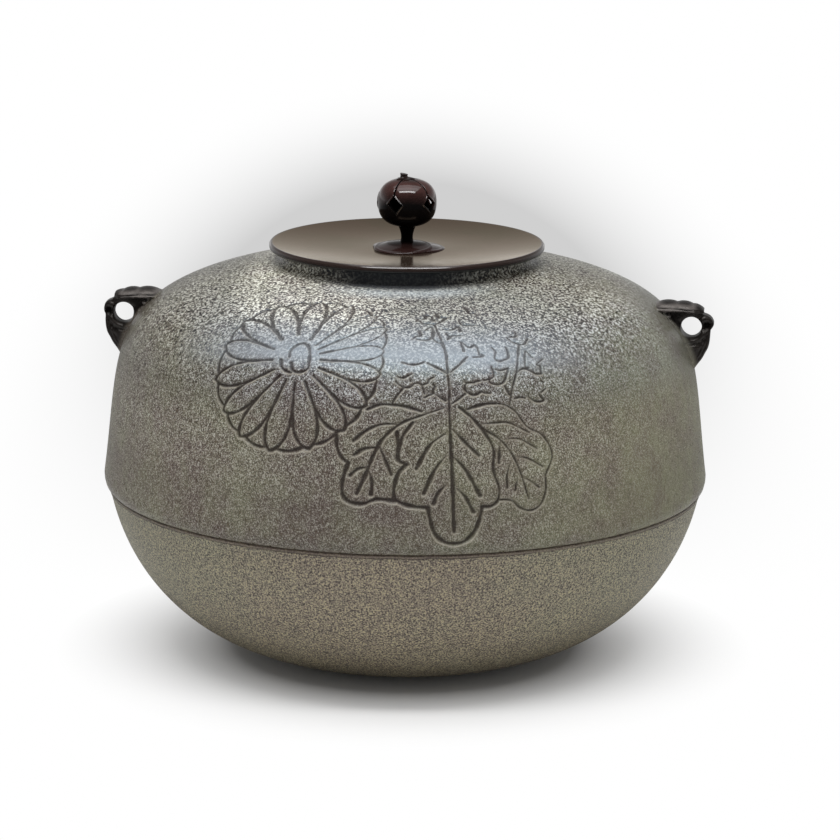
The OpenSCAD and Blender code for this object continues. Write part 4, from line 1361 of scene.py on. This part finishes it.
def knobStem(finish):
    # A small foot, a waist, a flare under the bud, and the riveted tang below the lid, turned about the axis
    foot, waist, top = knob["footRadius"], knob["waistRadius"], knob["stemTopRadius"]
    tang, head, tall = knob["tangRadius"], knob["rivetRound"], knob["stemHeight"]
    rivetZ = underZ - knob["washer"]
    waistZ = seatZ + 0.45 * tall
    tenonZ = budZ + 2 * knob["budWall"]
    skirt = bezier((foot, seatZ - 0.4), (0.8 * foot, seatZ + 0.5), (waist, seatZ + 0.25 * tall),
                   (waist, waistZ), 22)
    flare = bezier((waist, waistZ), (waist, waistZ + 0.2 * tall), (top - 0.4, budZ - 0.8), (top, budZ), 14)
    section = np.vstack([
        (0, rivetZ - head), oval((tang, rivetZ), head, head, -90, 0, 8), (tang, rivetZ), (tang, flatZ),
        (foot - 1, seatZ - 0.9), skirt, flare[1:], (tang, budZ), (tang, tenonZ), (0, tenonZ),
    ])
    points, faces = poled(section, 96)
    piece = putMesh("knobStem", points, faces, sharp=50)
    dress(piece, finish, "lid", "knob_bronze", "knob_stem")


def budSection(wall, count):
    # Half section, square-shouldered: two cubics that meet at the widest line
    r, h, q = knob["budRadius"] - wall, knob["budHeight"] / 2 - wall, knob["squareness"]
    low = bezier((0, -h), (q * r, -h), (r, -q * h), (r, 0), count)
    high = bezier((r, 0), (r, q * h), (q * r, h), (0, h), count)
    return np.vstack([low[:-1], high])


def openBud(wall, count):
    # The half section less the tang's hole below and the stalk's hole on top
    section = budSection(wall, count)
    r, z = section.T
    return section[((r > lid["holeRadius"]) | (z > 0)) & ((r > knob["stalkHole"]) | (z < 0))]


def openingField(points):
    # Millimetres beyond the nearest opening's edge, and how near a point is to a seam, 1 being on it
    angle, radius = np.arctan2(points[:, 1], points[:, 0]), np.hypot(points[:, 0], points[:, 1])
    wide, tall = knob["openingHalf"]
    height = points[:, 2] - budMidZ - knob["openingLift"]
    farthest = 9.0
    beyond, seam = np.full(len(points), farthest), np.zeros(len(points))
    for place in openingTurns:
        off = (angle - place + np.pi) % (2 * np.pi) - np.pi
        near = np.abs(off) < knob["openingReach"]
        across = off * radius + knob["openingLean"] * np.clip(height, -tall, tall)
        gone = (np.abs(across) / wide + np.abs(height) / tall - 1) * wide
        above = bell(across, knob["seamWidth"]) * ramp(height, tall - 0.8, tall)
        beyond = np.minimum(beyond, np.where(near, gone, farthest))
        seam = np.maximum(seam, np.where(near, above, 0))
    return beyond, seam


def lozenges():
    # Bars with a lozenge section of slightly hollow sides, one outwards through each opening
    turn = around(40)
    reach = 1 / (np.abs(np.cos(turn)) + np.abs(np.sin(turn))) ** 1.05
    wide, tall = knob["openingHalf"]
    along = np.array([6.0, knob["budRadius"] + 3])[:, None]
    up = tall * reach * np.sin(turn)
    across = wide * reach * np.cos(turn) - knob["openingLean"] * up
    z = budMidZ + knob["openingLift"] + up + 0 * along
    bars = []
    for place in openingTurns:
        x = along * np.cos(place) - across * np.sin(place)
        y = along * np.sin(place) + across * np.cos(place)
        bars.append(lofted(np.stack([x, y, z], 2)))
    return putMesh("lozenges", *joined(bars))


def knobBud(finish):
    # The bud's shell turned round, with a seam from each opening up to the calyx and thin lips round the
    # openings
    outer, inner = openBud(0, 60), openBud(knob["budWall"], 24)
    section = np.vstack([outer, inner[::-1]]) + (0, budMidZ)
    points, faces = turned(section, 420)
    skin = np.repeat(np.arange(len(section)) < len(outer), points.shape[1])
    flat = points.reshape(-1, 3)
    radius = np.hypot(flat[:, 0], flat[:, 1])
    off, seam = openingField(flat)
    move = knob["lip"] * bell(off - knob["lipPlace"], knob["lipWidth"]) - knob["seamDepth"] * seam
    move = np.where(skin, move, 0) * ramp(radius, 1.5, 4)
    swell = 1 + move / np.maximum(radius, 1)
    flat = flat * np.stack([swell, swell, np.ones_like(swell)], 1)
    piece = cutBy(putMesh("knobBud", flat, [faces]), lozenges(), 35)
    at = places(piece)
    shell = budSection(0, 60) + (0, budMidZ)
    # The bud's inside is marked as a seam too: painted shade, black and dull
    inside = np.interp(at[:, 2], shell[:, 1], shell[:, 0]) - np.hypot(at[:, 0], at[:, 1]) > 0.6
    addMark(piece.data, "seam", np.where(inside, 1, np.clip(1.3 * openingField(at)[1], 0, 1)))
    dress(piece, finish, "lid", "knob_bronze", "knob_ball")


def knobCalyx(finish):
    # Small leaves laid over the bud's top, one between each two openings, and a cut stalk set aside, as one
    # form of rings with a lobed edge
    topZ = budMidZ + knob["budHeight"] / 2
    angle = around(160)[:, None]
    leaves = len(knob["openings"])
    leaf = np.cos(leaves * (angle - openingTurns[0] - np.pi / leaves))
    edge = knob["calyxRadius"] * (0.86 + 0.14 * leaf)
    share = np.linspace(1, 0, 9)[None]
    stalk = knob["stalkRadius"] * (1 + 0.1 * np.sin(2 * angle) + 0.07 * np.sin(3 * angle + 1))
    r = stalk + (edge - stalk) * share
    place = knob["stalkPlace"] + (knob["calyxPlace"] - knob["stalkPlace"]) * share + 0 * r
    bud = budSection(0, 60)
    dome = bud[bud[:, 1] > 0][::-1]
    reach = np.hypot(r * np.cos(angle) + place, r * np.sin(angle))
    skinZ = budMidZ + np.interp(reach, dome[:, 0], dome[:, 1])
    leafTop, leafLow = skinZ + 0.3 + 0.4 * (1 - share), skinZ - 0.3
    # The stalk's cut top falls to the right
    rise = knob["stalkHeight"] * np.array([[0.2, 0.6, 0.92, 1.0, 1.0, 0.94]])
    wide = stalk * np.array([[0.92, 0.9, 1.0, 0.92, 0.5, 0.2]])
    rise = topZ + 0.6 + rise - 0.2 * rise * np.cos(angle) * wide / knob["stalkRadius"]
    place = np.concatenate([place[:, ::-1], place, knob["stalkPlace"] + 0 * wide], 1)
    r = np.concatenate([r[:, ::-1], r, wide], 1)
    z = np.concatenate([leafLow[:, ::-1], leafTop, rise], 1)
    rings = np.stack([r * np.cos(angle) + place, r * np.sin(angle), z], 2).transpose(1, 0, 2)
    points, faces = lofted(rings)
    piece = putMesh("knobCalyx", points, faces, sharp=50)
    dress(piece, finish, "lid", "knob_bronze", "knob_calyx")


upperBody()
bottomBowl()
lugs()
lidPlate()
lacquer = knobLacquer()
for part in (knobSeat, knobStem, knobBud, knobCalyx):
    part(lacquer)

# Inner pieces keep their own solids
stripIron = smoothMetal("stripIron", tone(52, 44, 40), tone(84, 72, 64), 0.6, 0.4)
jointLacquer = smoothMetal("jointLacquer", tone(26, 22, 21), tone(44, 38, 34), 0.4, 0.0, 500.0, 0.0002)
washerBronze = smoothMetal("washerBronze", tone(74, 54, 44), tone(104, 78, 62), 0.4, 0.6)
innerFinishes = {"singing_iron": stripIron, "lacquer_pad": jointLacquer, "seam_lacquer": jointLacquer,
                 "rivet_washer": washerBronze}
for name, piece in frame["nodes"].items():
    for start, finish in innerFinishes.items():
        if name.startswith(start):
            piece.data.materials.clear()
            piece.data.materials.append(finish)
print("inner pieces dressed")

# Floor and light, in metres
studio = {
    "floorRadius": 6.0, "floorDrop": 0.0002, "floorTone": 0.8, "floorRough": 0.9, "white": 1.0,
    "shadow": (0.075, 0.156),       # from the axis, over which the floor's shadow fades into the white
    "glossFrom": (0.2, 0.6),        # from which the floor shows in reflections as the room does
    "glossFade": (-0.1, 0.8), "glossBack": 0.45,
    # Grey cloud on the backdrop behind the lid
    "cloud": 1.1, "cloudMost": 0.37, "cloudPlace": 0.6, "cloudSize": (0.25, 1.15), "cloudPower": 2.2,
    "cloudOut": (0.25, 1.05, 1.0, 0.0), "cloudBack": (0.1, 0.8),
    "world": 0.47,                  # light from the room on dull surfaces
    # What gloss sees behind, overhead and in front
    "backLow": 1.0, "backHigh": 0.12, "backFade": 0.2, "roomDark": 0.05, "roomTurn": (-0.3, 0.3),
    "boxHeight": 1.15, "boxSize": (1.2, 0.38), "boxStrips": ((0.24, 2.0), (-0.14, 3.5)),    # place and power
    "frontPlace": (0.0, -0.53, 1.15), "frontSize": (1.1, 0.22), "frontPower": 10.0,
}


def floor():
    angle = around(96)
    ring = np.stack([np.cos(angle), np.sin(angle), 0 * angle], 1) * studio["floorRadius"]
    piece = putMesh("floor", (ring - (0, 0, studio["floorDrop"])) / mm, [np.arange(len(angle))[None]])
    finish, tree, shader = newFinish("paleFloor")
    place = node(tree, "TexCoord").outputs["Object"]
    away = node(tree, "VectorMath", {0: place}, operation="LENGTH").outputs["Value"]
    # Grey cloud: an ellipse on the floor far behind as the camera looks, gone beside and before the kettle
    wide, deep = studio["cloudSize"]
    swung = {"Vector": place, "Angle": -np.radians(shot["swing"])}
    swung = node(tree, "VectorRotate", swung, rotation_type="Z_AXIS").outputs[0]
    x, y, z = node(tree, "SeparateXYZ", {0: swung}).outputs
    back = sums(tree, "DIVIDE", sums(tree, "SUBTRACT", y, studio["cloudPlace"]), deep)
    off = spread(tree, length(tree, sums(tree, "DIVIDE", x, wide), back), *studio["cloudOut"])
    thick = times(tree, sums(tree, "POWER", off, studio["cloudPower"]), studio["cloud"])
    thick = sums(tree, "MINIMUM", thick, studio["cloudMost"])
    cloud = times(tree, thick, spread(tree, y, *studio["cloudBack"]))
    path = node(tree, "LightPath").outputs
    other = sums(tree, "MAXIMUM", path["Is Glossy Ray"], path["Is Transmission Ray"])
    seen = times(tree, path["Is Camera Ray"], spread(tree, away, *studio["shadow"]))
    share = sums(tree, "MAXIMUM", seen, times(tree, other, spread(tree, away, *studio["glossFrom"])))
    mirrored = spread(tree, y, *studio["glossFade"], studio["roomDark"], studio["glossBack"])
    level = spread(tree, other, 0, 1, sums(tree, "SUBTRACT", studio["white"], cloud), mirrored)
    glow = node(tree, "Emission", {"Strength": level})
    feed(tree, shader, {
        "Base Color": (*(studio["floorTone"],) * 3, 1),
        "Roughness": studio["floorRough"],
        "Specular IOR Level": 0.0,
    })
    mixed = node(tree, "MixShader", {0: share, 1: shader.outputs[0], 2: glow.outputs[0]})
    tree.links.new(mixed.outputs[0], tree.nodes["Material Output"].inputs[0])
    piece.data.materials.append(finish)


def softLight(name, place, size, power):
    lamp = bpy.data.lights.new(name, "AREA")
    lamp.shape, lamp.size, lamp.size_y, lamp.energy = "RECTANGLE", *size, power
    holder = bpy.data.objects.new(name, lamp)
    holder.location = spin("Z", shot["swing"]) @ np.array(place)
    holder.rotation_euler.z = np.radians(shot["swing"])
    bpy.context.scene.collection.objects.link(holder)


def surroundings():
    # White backdrop behind and beside the kettle, a dark room towards the front and overhead
    world = bpy.data.worlds.new("studio")
    world.use_nodes = True
    bpy.context.scene.world = world
    tree = world.node_tree
    path = node(tree, "LightPath").outputs
    x, y, z = node(tree, "SeparateXYZ", {0: node(tree, "TexCoord").outputs["Generated"]}).outputs
    rise = sums(tree, "DIVIDE", sums(tree, "MAXIMUM", z, 0.0), -studio["backFade"])
    back = spread(tree, sums(tree, "EXPONENT", rise), 0.0, 1.0, studio["backHigh"], studio["backLow"])
    room = spread(tree, y, *studio["roomTurn"], studio["roomDark"], back)
    shine = spread(tree, path["Is Glossy Ray"], 0, 1, studio["world"], room)
    plain = sums(tree, "MAXIMUM", path["Is Camera Ray"], path["Is Transmission Ray"])
    strength = spread(tree, plain, 0, 1, shine, 1.0)
    feed(tree, tree.nodes["Background"], {"Color": (1, 1, 1, 1), "Strength": strength})


floor()
for place, power in studio["boxStrips"]:
    softLight("overheadBox", (0.0, place, studio["boxHeight"]), studio["boxSize"], power)
softLight("frontBox", studio["frontPlace"], studio["frontSize"], studio["frontPower"])
surroundings()
bpy.context.scene.view_settings.view_transform = "Standard"
print("studio set")
